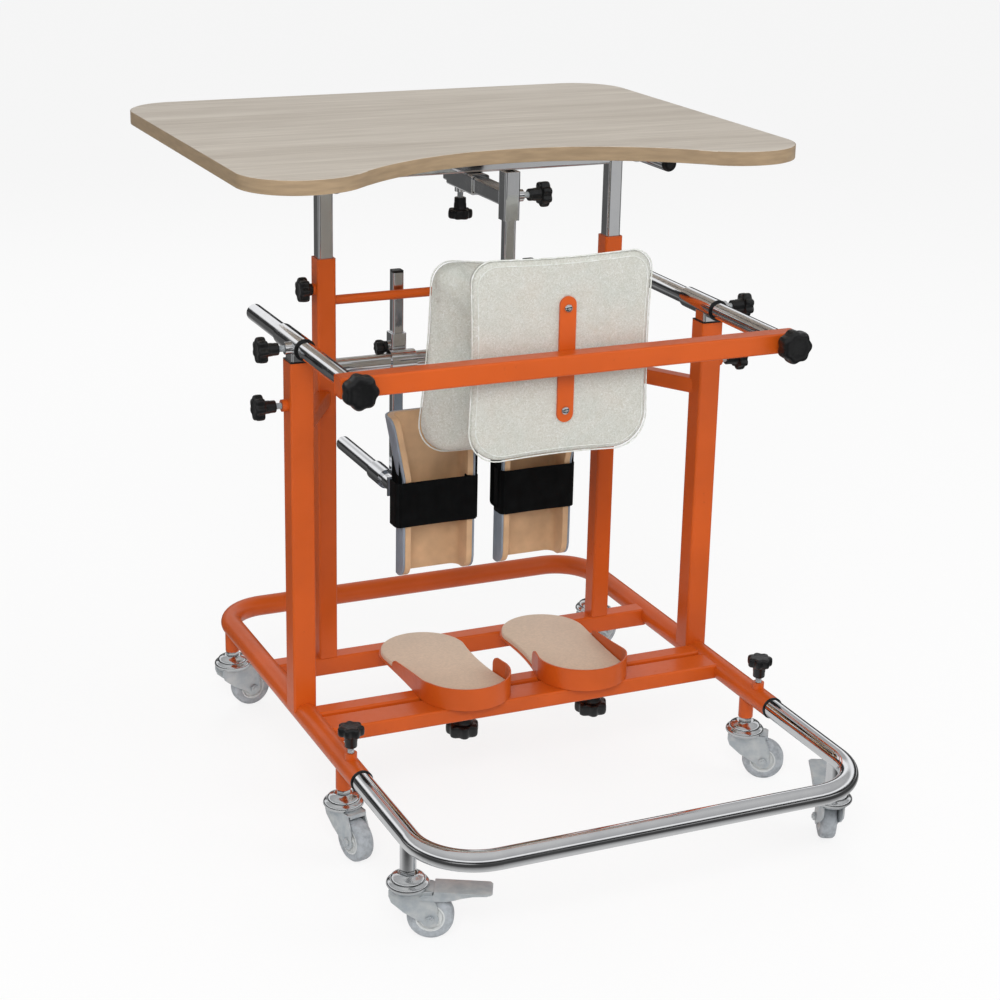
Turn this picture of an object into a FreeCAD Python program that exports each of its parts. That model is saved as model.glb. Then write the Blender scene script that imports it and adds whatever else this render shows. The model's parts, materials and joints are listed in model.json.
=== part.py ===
# Standing frame with a tray table, on six casters.
# Millimetres. +X is the user's right, +Y the way the user faces, +Z up, and the floor is Z = 0.
import FreeCAD
import Part
import math
import os

V = FreeCAD.Vector
X_AXIS = V(1, 0, 0)
Y_AXIS = V(0, 1, 0)
Z_AXIS = V(0, 0, 1)
QUARTER_TURN = 90.0

# Clearances and the overrun that every cut takes
overrun = 6.0
slide_gap = 0.3
running_gap = 0.05
tube_gap = 0.5

# Round base tubes
rail_spacing = 560.0
rail_od = 28.0
rail_wall = 1.4
rail_bend_r = 60.0
base_depth = 794.0
rail_end_setback = 230.0
extension_od = 25.0
extension_wall = 1.5
extension_bend_r = 75.0
extension_insert = 230.0

# Caster stubs: how far they reach below the rails, and where they stand from the tube's ends
stub_od = 19.0
stub_drop = 38.0
stem_r = 5.0
stem_length = 20.0
rear_caster_inset = 54.0
front_caster_inset = 62.0
near_caster_setback = 82.0

# Cross rails
slot_rail_height = 20.0
near_rail_width = 40.0
far_rail_width = 25.0
near_rail_setback = 355.0
slot_width = 9.0
rear_rail_size = 25.0
rear_rail_setback = 575.0
rail_tube_wall = 2.0
corner_r = 3.0

# Posts
side_post_size = 30.0
side_post_wall = 2.0
side_post_setback = 445.0
side_post_top = 581.0
tray_post_size = 25.0
tray_post_wall = 2.0
tray_post_spacing = 402.0

# Braces and round bars between the posts
brace_size = 20.0
brace_drop = 89.0
cross_tube_od = 12.0
cross_tube_drop = 56.0
knee_bar_od = 20.0
knee_bar_z = 530.0

# Star knobs: a head with lobes, a hub and a threaded stud
lobe_count = 7
lobe_radius_share = 0.25
knob_bevel_share = 0.18
stud_r = 4.0
stud_show = 8.0
short_show = 1.0
short_hub_l = 5.0
knee_head_r = 10.0
knee_head_t = 10.0
small_head_r = 16.5
small_head_t = 13.0
small_hub_r = 8.0
small_hub_l = 15.0
big_head_r = 21.5
big_head_t = 20.0
big_hub_r = 11.0
big_hub_l = 6.0
foot_head_r = 22.0
foot_head_t = 18.0
foot_hub_r = 12.0
foot_hub_l = 20.0
boss_od = 15.0
boss_length = 7.0
low_boss_length = 3.0
base_knob_inset = 36.0
tray_lock_drop = 40.0
stem_lock_drop = 54.5
arm_lock_in_guide = 15.0

# Tray lift
lift_size = 20.0
lift_wall = 1.5
lift_bottom = 430.0
lift_gap = 11.0
lift_show = 116.0
lift_bar_size = 20.0
arm_sleeve_size = 25.0
arm_sleeve_wall = 2.2
arm_sleeve_lead = 26.0
arm_sleeve_length = 80.0
arm_lock_in_sleeve = 63.0
runner_od = 20.0
runner_wall = 1.5
runner_sleeve_od = 25.0
runner_sleeve_length = 50.0
runner_far_inset = 69.0
runner_length = 400.0
runner_drop = 15.0
spacer_size = 14.0
spacer_inset = 16.0

# Tray board
tray_width = 727.0
tray_near = 344.0
tray_far = 935.0
tray_thickness = 18.0
tray_top = 818.0
tray_corner_r = 70.0
recess_edge_flat = 4.5
recess_depth = 112.0
recess_inner_share = 0.79
tray_edge_r = 1.5

# Chest support
chest_arm_size = 20.0
chest_arm_wall = 1.5
chest_arm_insert = 95.0
chest_y_setback = 460.0
chest_sleeve_size = 21.0
chest_sleeve_height = 60.0
chest_sleeve_gap = 10.0
chest_tube_size = 15.0
chest_tube_wall = 1.5
chest_tube_bottom = 500.0
chest_lock_drop = 31.0
chest_plate_width = 120.0
chest_plate_height = 50.0
plate_thickness = 3.0
chest_pad_z = 559.0

# Pads
pad_width = 234.0
pad_height = 244.0
pad_thickness = 36.0
pad_corner_r = 34.0
pad_side_draw = 2.5
pad_level_shares = (0.0, 0.06, 0.16, 0.45, 0.75, 1.0)
pad_inset_shares = (0.27, 0.07, 0.0, 0.06, 0.35, 0.90)
pad_inset = 26.0
chest_pad_turn = 4.5
rear_pad_shift = -5.0
rear_pad_rise = 3.0

# Side arms, their stems and the rear bar
arm_rise = 19.0
arm_od = 22.0
arm_wall = 1.5
arm_tail = 167.0
arm_sleeve_od = 27.0
arm_guide_lead = 24.0
arm_guide_length = 78.0
stem_size = 25.0
stem_wall = 2.0
stem_insert = 200.0
rear_bar_setback = 262.0
rear_bar_size = 25.0
rear_bar_wall = 2.0
rear_bar_overhang = 14.0
arm_plug_length = 18.0
strip_x = -6.0
strip_width = 21.0
strip_height = 153.0

# Knee supports; a pair of values is the left one, then the right one
knee_tube_x = (95.0, 92.0)
knee_tube_behind = 18.5
knee_tube_size = 15.0
knee_tube_wall = 1.5
knee_tube_rise = 112.0
knee_tube_foot = 18.0
knee_clamp_od = 27.0
knee_clamp_length = 34.0
knee_sleeve_size = 21.0
knee_sleeve_height = 46.0
knee_lock_rise = 14.0
knee_rod_z = 370.0
knee_rod_od = 20.0
knee_rod_sleeve_od = 26.0
knee_rod_sleeve_length = 40.0
knee_rod_far = 738.0
shell_inset = 24.0
shell_front = 500.0
shell_width = 100.0
shell_depth = 44.0
shell_wall = 3.0
shell_back_r = 22.0
shell_bottom = 256.0
shell_flare_z = 392.0
shell_top = 473.0
shell_flare = 16.0
shell_corner_r = 20.0
lining_thickness = 8.0
knee_plate_height = 26.0
knee_plate_reach = 20.0
strap_bottom = 329.0
strap_height = 60.0
strap_thickness = 3.0
strap_leg = 20.0
strap_slack = (8.0, 1.0)
strap_front_gap = 1.5

# Footplates: the left one, then the right one
foot_bolt_x = (78.0, 107.0)
foot_shift_x = (-1.5, -17.0)
foot_toe_out = (1.0, 3.5)
sheet_thickness = 2.0
heel_r = 60.5
toe_r = 60.0
sole_reach = 129.0
waist_half_width = 59.0
arch_draw = 4.0
rim_height = 29.0
rim_inner_length = 30.0
rim_outer_length = 98.0
rim_slope_start = -20.0
rim_tip_height = 16.0
rim_tip_r = 12.0
insole_thickness = 6.0
foot_washer_r = 11.0
foot_washer_t = 2.0
foot_bolt_head_r = 7.0
foot_bolt_head_t = 3.0

# Casters; a heading is where the wheel trails, in degrees, and a pedal tilt is its end's fall
wheel_r = 27.0
wheel_width = 20.0
hub_r = 17.0
hub_extra = 0.6
axle_r = 4.0
trail = 26.0
fork_gap = 1.2
cheek_thickness = 2.5
dome_r = 25.0
dome_height = 9.0
race_height = 7.0
nut_r = 9.0
nut_height = 5.7
fork_crown = 9.0
fork_boss_r = 9.0
tyre_edge_r = 3.5
pedal_pivot_x = 17.0
pedal_pivot_drop = 7.0
pedal_pin_r = 2.0
pedal_reach = 96.0
pedal_width = 32.0
pedal_plate_drop = 1.0
pedal_plate_start = 30.0
pedal_plate_t = 2.0
pedal_tie_drop = 3.5
shoe_length = 12.0
shoe_gap = 2.6
cheek_back_share = 0.8
cheek_front_share = 0.85
cheek_shoulder_share = 0.6
cheek_chin_share = 0.5
axle_head_share = 1.5
caster_names = ("rear_left", "rear_right", "front_left", "front_right", "near_left", "near_right")
caster_headings = (8.0, 25.0, -76.0, -33.0, -26.0, 66.0)
braked_casters = ("near_left", "near_right")
pedal_tilts = (1.0, -6.0)

# Places worked out from the sizes above
near_bar_y = -(tray_far - extension_od / 2) / 2
rail_x = rail_spacing / 2
far_bar_y = near_bar_y + base_depth
rail_end_y = near_bar_y + rail_end_setback
fork_top_z = 2 * wheel_r + fork_crown
pedal_pivot_z = fork_top_z - pedal_pivot_drop
pedal_plate_z = fork_top_z - pedal_plate_drop
dome_z = fork_top_z + race_height
nut_z = dome_z + dome_height
stub_bottom_z = nut_z + nut_height + slide_gap
rail_z = stub_bottom_z + stub_drop
rail_top_z = rail_z + slot_rail_height / 2
near_rail_y = near_bar_y + near_rail_setback + near_rail_width / 2
slot_y = near_bar_y + near_rail_setback + near_rail_width + slot_width / 2
far_rail_y = slot_y + slot_width / 2 + far_rail_width / 2
rear_rail_y = near_bar_y + rear_rail_setback
side_post_y = near_bar_y + side_post_setback
tray_post_x = tray_post_spacing / 2
tray_post_y = rear_rail_y
tray_bottom = tray_top - tray_thickness
recess_half_width = tray_width / 2 - tray_corner_r - recess_edge_flat
lift_top = tray_bottom - lift_gap
tray_post_top = lift_top - lift_show
tray_lock_z = tray_post_top - tray_lock_drop
cross_tube_z = tray_post_top - cross_tube_drop
brace_z = side_post_top - brace_drop
stem_lock_z = side_post_top - stem_lock_drop
arm_z = side_post_top + arm_rise
arm_guide_y = side_post_y - arm_guide_lead
arm_lock_y = arm_guide_y + arm_lock_in_guide
lift_bar_z = lift_top - lift_bar_size / 2
chest_arm_z = lift_top - lift_bar_size - arm_sleeve_size / 2
arm_sleeve_y = tray_post_y - arm_sleeve_lead
runner_x = tray_post_x + lift_size / 2 + runner_sleeve_od / 2
runner_z = tray_bottom - runner_drop
runner_near_y = near_bar_y + tray_far - runner_far_inset - runner_length
chest_sleeve_top = tray_bottom - chest_sleeve_gap
chest_sleeve_bottom = chest_sleeve_top - chest_sleeve_height
chest_lock_z = chest_sleeve_top - chest_lock_drop
chest_y = near_bar_y + chest_y_setback
chest_pad_back_y = chest_y - chest_tube_size / 2 - plate_thickness
rear_bar_y = near_bar_y + rear_bar_setback
strip_y = rear_bar_y + rear_bar_size / 2
rear_pad_y = strip_y + plate_thickness
knee_tube_y = tray_post_y + knee_tube_behind
knee_tube_top = knee_bar_z + knee_tube_rise
knee_tube_bottom = knee_rod_z - knee_tube_foot
knee_lock_z = knee_bar_z + knee_lock_rise
knee_rod_offset = knee_tube_size / 2 + knee_rod_sleeve_od / 2
sides = ((-1, "left"), (1, "right"))
shell_y = near_bar_y + shell_front
shell_back_y = shell_y + shell_depth
foot_z = rail_top_z + slide_gap
knob_kinds = {
    "long": (small_head_r, small_head_t, small_hub_r, small_hub_l, stud_show),
    "short": (small_head_r, small_head_t, small_hub_r, short_hub_l, short_show),
    "knee": (knee_head_r, knee_head_t, small_hub_r, short_hub_l, short_show),
    "big": (big_head_r, big_head_t, big_hub_r, big_hub_l, slide_gap),
}
thread_bore_r = stud_r + running_gap
cheek_y = wheel_width / 2 + fork_gap
caster_places = {
    "rear_left": (-rail_x, far_bar_y - rear_caster_inset),
    "rear_right": (rail_x, far_bar_y - rear_caster_inset),
    "front_left": (-rail_x, rail_end_y + front_caster_inset),
    "front_right": (rail_x, rail_end_y + front_caster_inset),
    "near_left": (-rail_x, near_bar_y + near_caster_setback),
    "near_right": (rail_x, near_bar_y + near_caster_setback),
}


def save(name, *solids):
    """Write one node as a STEP file, its solids kept separate."""
    flat = []
    for solid in solids:
        flat.extend(solid.Solids)
    shape = flat[0] if len(flat) == 1 else Part.makeCompound(flat)
    shape.exportStep("parts/" + name + ".step")


def block(low, high):
    """A box from its lowest to its highest corner."""
    return Part.makeBox(high[0] - low[0], high[1] - low[1], high[2] - low[2], V(*low))


def rod(start, axis, radius, length):
    """A round bar from a point, along an axis."""
    return Part.makeCylinder(radius, length, V(*start), axis)


def ring_rod(start, axis, outer_r, inner_r, length):
    """A round tube from a point, along an axis."""
    return rod(start, axis, outer_r, length).cut(rod(start, axis, inner_r, length))


def rounded_face(width, depth, radius):
    """A rectangle with rounded corners about the origin, in the XY plane."""
    x = width / 2
    y = depth / 2
    k = radius * math.sqrt(0.5)
    edges = []
    for sx, sy in ((1, 1), (-1, 1), (-1, -1), (1, -1)):
        centre = V(sx * (x - radius), sy * (y - radius), 0)
        along_x = V(sx * x, sy * (y - radius), 0)
        along_y = V(sx * (x - radius), sy * y, 0)
        middle = centre + V(sx * k, sy * k, 0)
        first, last = (along_x, along_y) if sx * sy > 0 else (along_y, along_x)
        edges.append((first, middle, last))
    wire = []
    for index, (first, middle, last) in enumerate(edges):
        wire.append(Part.Arc(first, middle, last).toShape())
        wire.append(Part.LineSegment(last, edges[(index + 1) % len(edges)][0]).toShape())
    return Part.Face(Part.Wire(wire))


def upright_tube(width, depth, wall, length, radius):
    """A square or flat tube along Z from the origin, open at both ends."""
    outer = rounded_face(width, depth, radius).extrude(V(0, 0, length))
    inner_r = max(radius - wall, wall / 2)
    inner = rounded_face(width - 2 * wall, depth - 2 * wall, inner_r).extrude(V(0, 0, length))
    return outer.cut(inner)


def upright_bar(width, depth, length, radius):
    """A solid square bar along Z from the origin."""
    return rounded_face(width, depth, radius).extrude(V(0, 0, length))


def lay_along_x(shape, start):
    """Turn a Z shape to run along X, and move its start there."""
    turned = shape.copy()
    turned.rotate(V(0, 0, 0), Y_AXIS, QUARTER_TURN)
    turned.translate(V(*start))
    return turned


def lay_along_y(shape, start):
    """Turn a Z shape to run along Y, and move its start there."""
    turned = shape.copy()
    turned.rotate(V(0, 0, 0), X_AXIS, -QUARTER_TURN)
    turned.translate(V(*start))
    return turned


def moved(shape, place):
    """A copy of a shape, moved."""
    copy = shape.copy()
    copy.translate(V(*place))
    return copy


def u_path(end_y, bar_y, bend_r):
    """The centre line of a U tube: two legs from end_y, joined by a bar at bar_y."""
    way = 1 if bar_y > end_y else -1
    bend_y = bar_y - way * bend_r
    k = bend_r * (1 - math.sqrt(0.5))
    left_end = V(-rail_x, end_y, rail_z)
    left_bend = V(-rail_x, bend_y, rail_z)
    left_bar = V(-rail_x + bend_r, bar_y, rail_z)
    right_bar = V(rail_x - bend_r, bar_y, rail_z)
    right_bend = V(rail_x, bend_y, rail_z)
    right_end = V(rail_x, end_y, rail_z)
    left_mid = V(-rail_x + k, bar_y - way * k, rail_z)
    right_mid = V(rail_x - k, bar_y - way * k, rail_z)
    edges = [
        Part.LineSegment(left_end, left_bend).toShape(),
        Part.Arc(left_bend, left_mid, left_bar).toShape(),
        Part.LineSegment(left_bar, right_bar).toShape(),
        Part.Arc(right_bar, right_mid, right_bend).toShape(),
        Part.LineSegment(right_bend, right_end).toShape(),
    ]
    return Part.Wire(edges)


def u_solid(end_y, bar_y, bend_r, radius):
    """A round U bar on that centre line."""
    profile = Part.Wire(Part.makeCircle(radius, V(-rail_x, end_y, rail_z), Y_AXIS))
    return u_path(end_y, bar_y, bend_r).makePipeShell([profile], True, False)


def stub_at(x, y):
    """A short upright socket for a caster stem, from the tube's middle down."""
    return rod((x, y, stub_bottom_z), Z_AXIS, stub_od / 2, rail_z - stub_bottom_z)


def stem_bore(x, y):
    """The blind hole that a caster stem turns in."""
    depth = stem_length + slide_gap
    start = (x, y, stub_bottom_z - overrun)
    return rod(start, Z_AXIS, stem_r + running_gap, depth + overrun)


def boss_at(face, axis, length=boss_length):
    """A threaded boss that stands out from a tube face; it starts inside the wall."""
    start = V(*face) - axis * rail_wall
    return Part.makeCylinder(boss_od / 2, length + rail_wall, start, axis)


def bolt_hole(face, axis, depth):
    """The hole through a boss and one tube wall."""
    start = V(*face) - axis * depth
    return Part.makeCylinder(thread_bore_r, depth + boss_length + overrun, start, axis)


def lobed_head(head_r, head_t):
    """A star knob's head from the origin along Z: a round core with lobes and softened rims."""
    lobe_r = head_r * lobe_radius_share
    head = Part.makeCylinder(head_r - lobe_r, head_t)
    for index in range(lobe_count):
        angle = 2 * math.pi * index / lobe_count
        ring = head_r - lobe_r
        centre = V(ring * math.cos(angle), ring * math.sin(angle), 0)
        head = head.fuse(Part.makeCylinder(lobe_r, head_t, centre, Z_AXIS))
    head = head.removeSplitter()
    bevel = head_t * knob_bevel_share
    low = Part.makeCone(head_r - bevel, head_r, bevel)
    mid = Part.makeCylinder(head_r, head_t - 2 * bevel, V(0, 0, bevel), Z_AXIS)
    high = Part.makeCone(head_r, head_r - bevel, bevel, V(0, 0, head_t - bevel), Z_AXIS)
    return head.common(low.fuse(mid).fuse(high))


def star_knob(seat, axis, reach, kind="long"):
    """A star knob whose stud starts reach below the seat and shows above it."""
    head_r, head_t, hub_r, hub_l, show = knob_kinds[kind]
    stud = Part.makeCylinder(stud_r, reach + show + hub_l, V(0, 0, -reach), Z_AXIS)
    hub = Part.makeCylinder(hub_r, hub_l, V(0, 0, show), Z_AXIS)
    head = moved(lobed_head(head_r, head_t), (0, 0, show + hub_l - slide_gap))
    knob = stud.fuse(hub).fuse(head)
    turn = FreeCAD.Rotation(Z_AXIS, axis)
    knob.Placement = FreeCAD.Placement(V(*seat), turn)
    return knob


def base_tube():
    """The powder-coated U tube with its four caster stubs and two knob bosses."""
    outer = u_solid(rail_end_y, far_bar_y, rail_bend_r, rail_od / 2)
    inner = u_solid(rail_end_y, far_bar_y, rail_bend_r, rail_od / 2 - rail_wall)
    frame = outer
    for name in caster_names[:4]:
        frame = frame.fuse(stub_at(*caster_places[name]))
    for side in (-1, 1):
        frame = frame.fuse(boss_at(base_knob_seat(side, 0), Z_AXIS))
    frame = frame.cut(inner)
    for name in caster_names[:4]:
        frame = frame.cut(stem_bore(*caster_places[name]))
    for side in (-1, 1):
        frame = frame.cut(bolt_hole(base_knob_seat(side, 0), Z_AXIS, rail_wall + slide_gap))
    return frame


def base_knob_seat(side, height):
    """The top of a side rail where its lock knob stands, raised by a height."""
    return (side * rail_x, rail_end_y + base_knob_inset, rail_z + rail_od / 2 + height)


def cross_rail(width, height, y, z):
    """A flat tube between the side rails, with its ends shaped to them."""
    length = rail_spacing - rail_od / 2
    tube = upright_tube(height, width, rail_tube_wall, length, corner_r)
    rail = lay_along_x(tube, (-length / 2, y, z))
    for side in (-1, 1):
        start = (side * rail_x, y - width, rail_z)
        rail = rail.cut(rod(start, Y_AXIS, rail_od / 2, 2 * width))
    return rail


def cross_rails():
    """The rear cross rail and the two rails of the footplate slot."""
    near = cross_rail(near_rail_width, slot_rail_height, near_rail_y, rail_z)
    far = cross_rail(far_rail_width, slot_rail_height, far_rail_y, rail_z)
    rear = cross_rail(rear_rail_size, rear_rail_size, rear_rail_y, rail_top_z - rear_rail_size / 2)
    return near, far, rear


def side_post(side):
    """A short square post on a side rail, with a boss for the stem lock."""
    bottom = rail_z + corner_r
    tube = upright_tube(side_post_size, side_post_size, side_post_wall,
                        side_post_top - bottom, corner_r)
    post = moved(tube, (side * rail_x, side_post_y, bottom))
    start = (side * rail_x, side_post_y - side_post_size, rail_z)
    post = post.cut(rod(start, Y_AXIS, rail_od / 2, 2 * side_post_size))
    face = (side * (rail_x + side_post_size / 2), side_post_y, stem_lock_z)
    post = post.fuse(boss_at(face, X_AXIS * side))
    post = post.cut(bolt_hole(face, X_AXIS * side, side_post_wall + slide_gap))
    return trim_inside(post, side * rail_x, side_post_y, side_post_size - 2 * side_post_wall)


def trim_inside(post, x, y, size):
    """Clear a post's bore of what a boss left in it."""
    bore = upright_bar(size, size, side_post_top + tray_post_top, corner_r / 2)
    return post.cut(moved(bore, (x, y, 0)))


def tray_post(side):
    """A tall square post on the rear cross rail, with a boss for the tray lift lock."""
    tube = upright_tube(tray_post_size, tray_post_size, tray_post_wall,
                        tray_post_top - rail_top_z, corner_r)
    post = moved(tube, (side * tray_post_x, tray_post_y, rail_top_z))
    face = (side * (tray_post_x + tray_post_size / 2), tray_post_y, tray_lock_z)
    post = post.fuse(boss_at(face, X_AXIS * side, low_boss_length))
    post = post.cut(bolt_hole(face, X_AXIS * side, tray_post_wall + slide_gap))
    return trim_inside(post, side * tray_post_x, tray_post_y, tray_post_size - 2 * tray_post_wall)


def post_block(x, y, size):
    """The full square space of a post, to trim what meets it."""
    half = size / 2
    return block((x - half, y - half, 0), (x + half, y + half, tray_post_top + overrun))


def frame_braces():
    """The two side braces from post to post, and the round tube between the tall posts."""
    braces = []
    for side in (-1, 1):
        start = V(side * rail_x, side_post_y, brace_z)
        end = V(side * tray_post_x, tray_post_y, brace_z)
        run = end - start
        bar = upright_tube(brace_size, brace_size, rail_tube_wall, run.Length, corner_r)
        angle = math.degrees(math.atan2(run.y, run.x))
        bar.rotate(V(0, 0, 0), Y_AXIS, QUARTER_TURN)
        bar.rotate(V(0, 0, 0), Z_AXIS, angle)
        bar.translate(start)
        bar = bar.cut(post_block(side * rail_x, side_post_y, side_post_size))
        bar = bar.cut(post_block(side * tray_post_x, tray_post_y, tray_post_size))
        braces.append(max(bar.Solids, key=lambda solid: solid.Volume))
    half = tray_post_x - tray_post_size / 2
    cross = ring_rod((-half, tray_post_y, cross_tube_z), X_AXIS,
                     cross_tube_od / 2, cross_tube_od / 2 - rail_wall, 2 * half)
    return braces[0], braces[1], cross


def knee_bar():
    """The plated round bar that the knee supports slide along."""
    half = tray_post_x - tray_post_size / 2
    return rod((-half, tray_post_y, knee_bar_z), X_AXIS, knee_bar_od / 2, 2 * half)


def extension_tube():
    """The plated U tube that slides out of the base, with its two caster stubs."""
    end_y = rail_end_y + extension_insert
    outer = u_solid(end_y, near_bar_y, extension_bend_r, extension_od / 2)
    inner = u_solid(end_y, near_bar_y, extension_bend_r, extension_od / 2 - extension_wall)
    for name in braked_casters:
        outer = outer.fuse(stub_at(*caster_places[name]))
    tube = outer.cut(inner)
    for name in braked_casters:
        tube = tube.cut(stem_bore(*caster_places[name]))
    return tube


def placed_caster(shape, name):
    """Turn a caster piece to its heading and move it under its stub."""
    x, y = caster_places[name]
    piece = shape.copy()
    piece.rotate(V(0, 0, 0), Z_AXIS, caster_headings[caster_names.index(name)])
    piece.translate(V(x, y, 0))
    return piece


def cheek_outline():
    """The side plate of a fork, in the XZ plane."""
    low = wheel_r
    rear = trail + fork_boss_r
    points = [V(-dome_r * cheek_back_share, 0, fork_top_z),
              V(dome_r * cheek_front_share, 0, fork_top_z),
              V(rear, 0, low + fork_boss_r * cheek_shoulder_share), V(rear, 0, low)]
    lines = [Part.LineSegment(a, b).toShape() for a, b in zip(points, points[1:])]
    front = V(trail - fork_boss_r, 0, low)
    under = V(trail, 0, low - fork_boss_r)
    lines.append(Part.Arc(points[-1], under, front).toShape())
    chin = V(-dome_r * cheek_back_share, 0, fork_top_z - dome_r * cheek_chin_share)
    lines.append(Part.LineSegment(front, chin).toShape())
    lines.append(Part.LineSegment(chin, points[0]).toShape())
    return Part.Wire(lines)


def caster_fork(braked):
    """A swivelling fork with its stem, nut, dome, side plates and axle."""
    cheek = Part.Face(cheek_outline()).extrude(V(0, cheek_thickness, 0))
    fork = moved(cheek, (0, cheek_y, 0)).fuse(moved(cheek, (0, -cheek_y - cheek_thickness, 0)))
    plate = Part.makeCylinder(dome_r - cheek_thickness, cheek_thickness,
                              V(0, 0, fork_top_z - cheek_thickness), Z_AXIS)
    race = Part.makeCylinder(dome_r, race_height, V(0, 0, fork_top_z), Z_AXIS)
    dome = Part.makeCone(dome_r, nut_r, dome_height, V(0, 0, dome_z), Z_AXIS)
    nut = Part.makeCylinder(nut_r, nut_height, V(0, 0, nut_z), Z_AXIS)
    stem = Part.makeCylinder(stem_r, stub_bottom_z + stem_length - nut_z, V(0, 0, nut_z), Z_AXIS)
    reach = cheek_y + cheek_thickness
    axle = Part.makeCylinder(axle_r, 2 * reach, V(trail, -reach, wheel_r), Y_AXIS)
    head_t = cheek_thickness / 2
    heads = Part.makeCylinder(axle_r * axle_head_share, 2 * (reach + head_t),
                              V(trail, -reach - head_t, wheel_r), Y_AXIS)
    heads = heads.cut(block((0, -reach, 0), (2 * trail, reach, fork_top_z)))
    for piece in (plate, race, dome, nut, stem, axle, heads):
        fork = fork.fuse(piece)
    if braked:
        hole = Part.makeCylinder(pedal_pin_r + running_gap, 2 * reach,
                                 V(pedal_pivot_x, -reach, pedal_pivot_z), Y_AXIS)
        fork = fork.cut(hole)
    return fork.removeSplitter()


def caster_wheel():
    """A tyre on a hub, bored for the axle."""
    centre_y = -wheel_width / 2
    tyre = Part.makeCylinder(wheel_r, wheel_width, V(trail, centre_y, wheel_r), Y_AXIS)
    rims = [edge for edge in tyre.Edges if edge.Closed]
    tyre = tyre.makeFillet(tyre_edge_r, rims)
    tyre = tyre.cut(Part.makeCylinder(hub_r, wheel_width, V(trail, centre_y, wheel_r), Y_AXIS))
    hub_y = centre_y - hub_extra
    hub_width = wheel_width + 2 * hub_extra
    hub = Part.makeCylinder(hub_r, wheel_width, V(trail, centre_y, wheel_r), Y_AXIS)
    core = Part.makeCylinder(hub_r / 2, hub_width, V(trail, hub_y, wheel_r), Y_AXIS)
    hub = hub.fuse(core)
    bore = Part.makeCylinder(axle_r + running_gap, hub_width, V(trail, hub_y, wheel_r), Y_AXIS)
    return tyre, hub.cut(bore)


def brake_pedal(tilt):
    """A foot lever, its pivot pin and the shoe that it presses on the tyre, at its rest tilt."""
    half = pedal_width / 2
    start = pedal_plate_start
    pedal = block((start, -half, pedal_plate_z), (pedal_reach, half, pedal_plate_z + pedal_plate_t))
    ear_y = cheek_y + cheek_thickness + slide_gap
    ear_low = pedal_pivot_z - 2 * pedal_pin_r
    shoe_end = start + shoe_length
    for side in (-1, 1):
        low_y, high_y = sorted((side * ear_y, side * half))
        ear = block((start, low_y, ear_low), (shoe_end, high_y, pedal_plate_z))
        nose = Part.makeCylinder(2 * pedal_pin_r, high_y - low_y,
                                 V(pedal_pivot_x, low_y, pedal_pivot_z), Y_AXIS)
        tie = block((pedal_pivot_x, low_y, ear_low), (start, high_y, fork_top_z - pedal_tie_drop))
        pedal = pedal.fuse(ear).fuse(nose).fuse(tie)
    pin = Part.makeCylinder(pedal_pin_r, 2 * half, V(pedal_pivot_x, -half, pedal_pivot_z), Y_AXIS)
    shoe_half = cheek_y - fork_gap
    shoe = block((start, -shoe_half, 2 * wheel_r + shoe_gap), (shoe_end, shoe_half, pedal_plate_z))
    pedal = pedal.cut(pin).removeSplitter()
    for piece in (pedal, pin, shoe):
        piece.rotate(V(pedal_pivot_x, 0, pedal_pivot_z), Y_AXIS, tilt)
    return pedal, pin, shoe


def lift_frame():
    """The two plated lift tubes, the bar between them and the sleeves welded to them."""
    frame = None
    length = lift_top - lift_bottom
    for side in (-1, 1):
        tube = upright_tube(lift_size, lift_size, lift_wall, length, corner_r)
        tube = moved(tube, (side * tray_post_x, tray_post_y, lift_bottom))
        frame = tube if frame is None else frame.fuse(tube)
        start = (side * runner_x, tray_post_y - runner_sleeve_length / 2, runner_z)
        frame = frame.fuse(rod(start, Y_AXIS, runner_sleeve_od / 2, runner_sleeve_length))
    half = tray_post_x - lift_size / 2
    bar = upright_tube(lift_bar_size, lift_bar_size, lift_wall, 2 * half, corner_r)
    frame = frame.fuse(lay_along_x(bar, (-half, tray_post_y, lift_bar_z)))
    sleeve = upright_bar(arm_sleeve_size, arm_sleeve_size, arm_sleeve_length, corner_r)
    frame = frame.fuse(lay_along_y(sleeve, (0, arm_sleeve_y, chest_arm_z)))
    face = (0, arm_sleeve_y + arm_lock_in_sleeve, chest_arm_z - arm_sleeve_size / 2)
    frame = frame.fuse(boss_at(face, -Z_AXIS))
    bore_size = arm_sleeve_size - 2 * arm_sleeve_wall
    bore = upright_bar(bore_size, bore_size, arm_sleeve_length + 2 * overrun, corner_r / 2)
    frame = frame.cut(lay_along_y(bore, (0, arm_sleeve_y - overrun, chest_arm_z)))
    frame = frame.cut(bolt_hole(face, -Z_AXIS, arm_sleeve_wall + slide_gap))
    for side in (-1, 1):
        start = (side * runner_x, tray_post_y - runner_sleeve_length, runner_z)
        frame = frame.cut(rod(start, Y_AXIS, runner_od / 2 + running_gap, 2 * runner_sleeve_length))
        frame = frame.cut(moved(upright_bar(lift_size - 2 * lift_wall, lift_size - 2 * lift_wall,
                                            length - lift_bar_size, corner_r / 2),
                                (side * tray_post_x, tray_post_y, lift_bottom)))
    return frame


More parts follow.
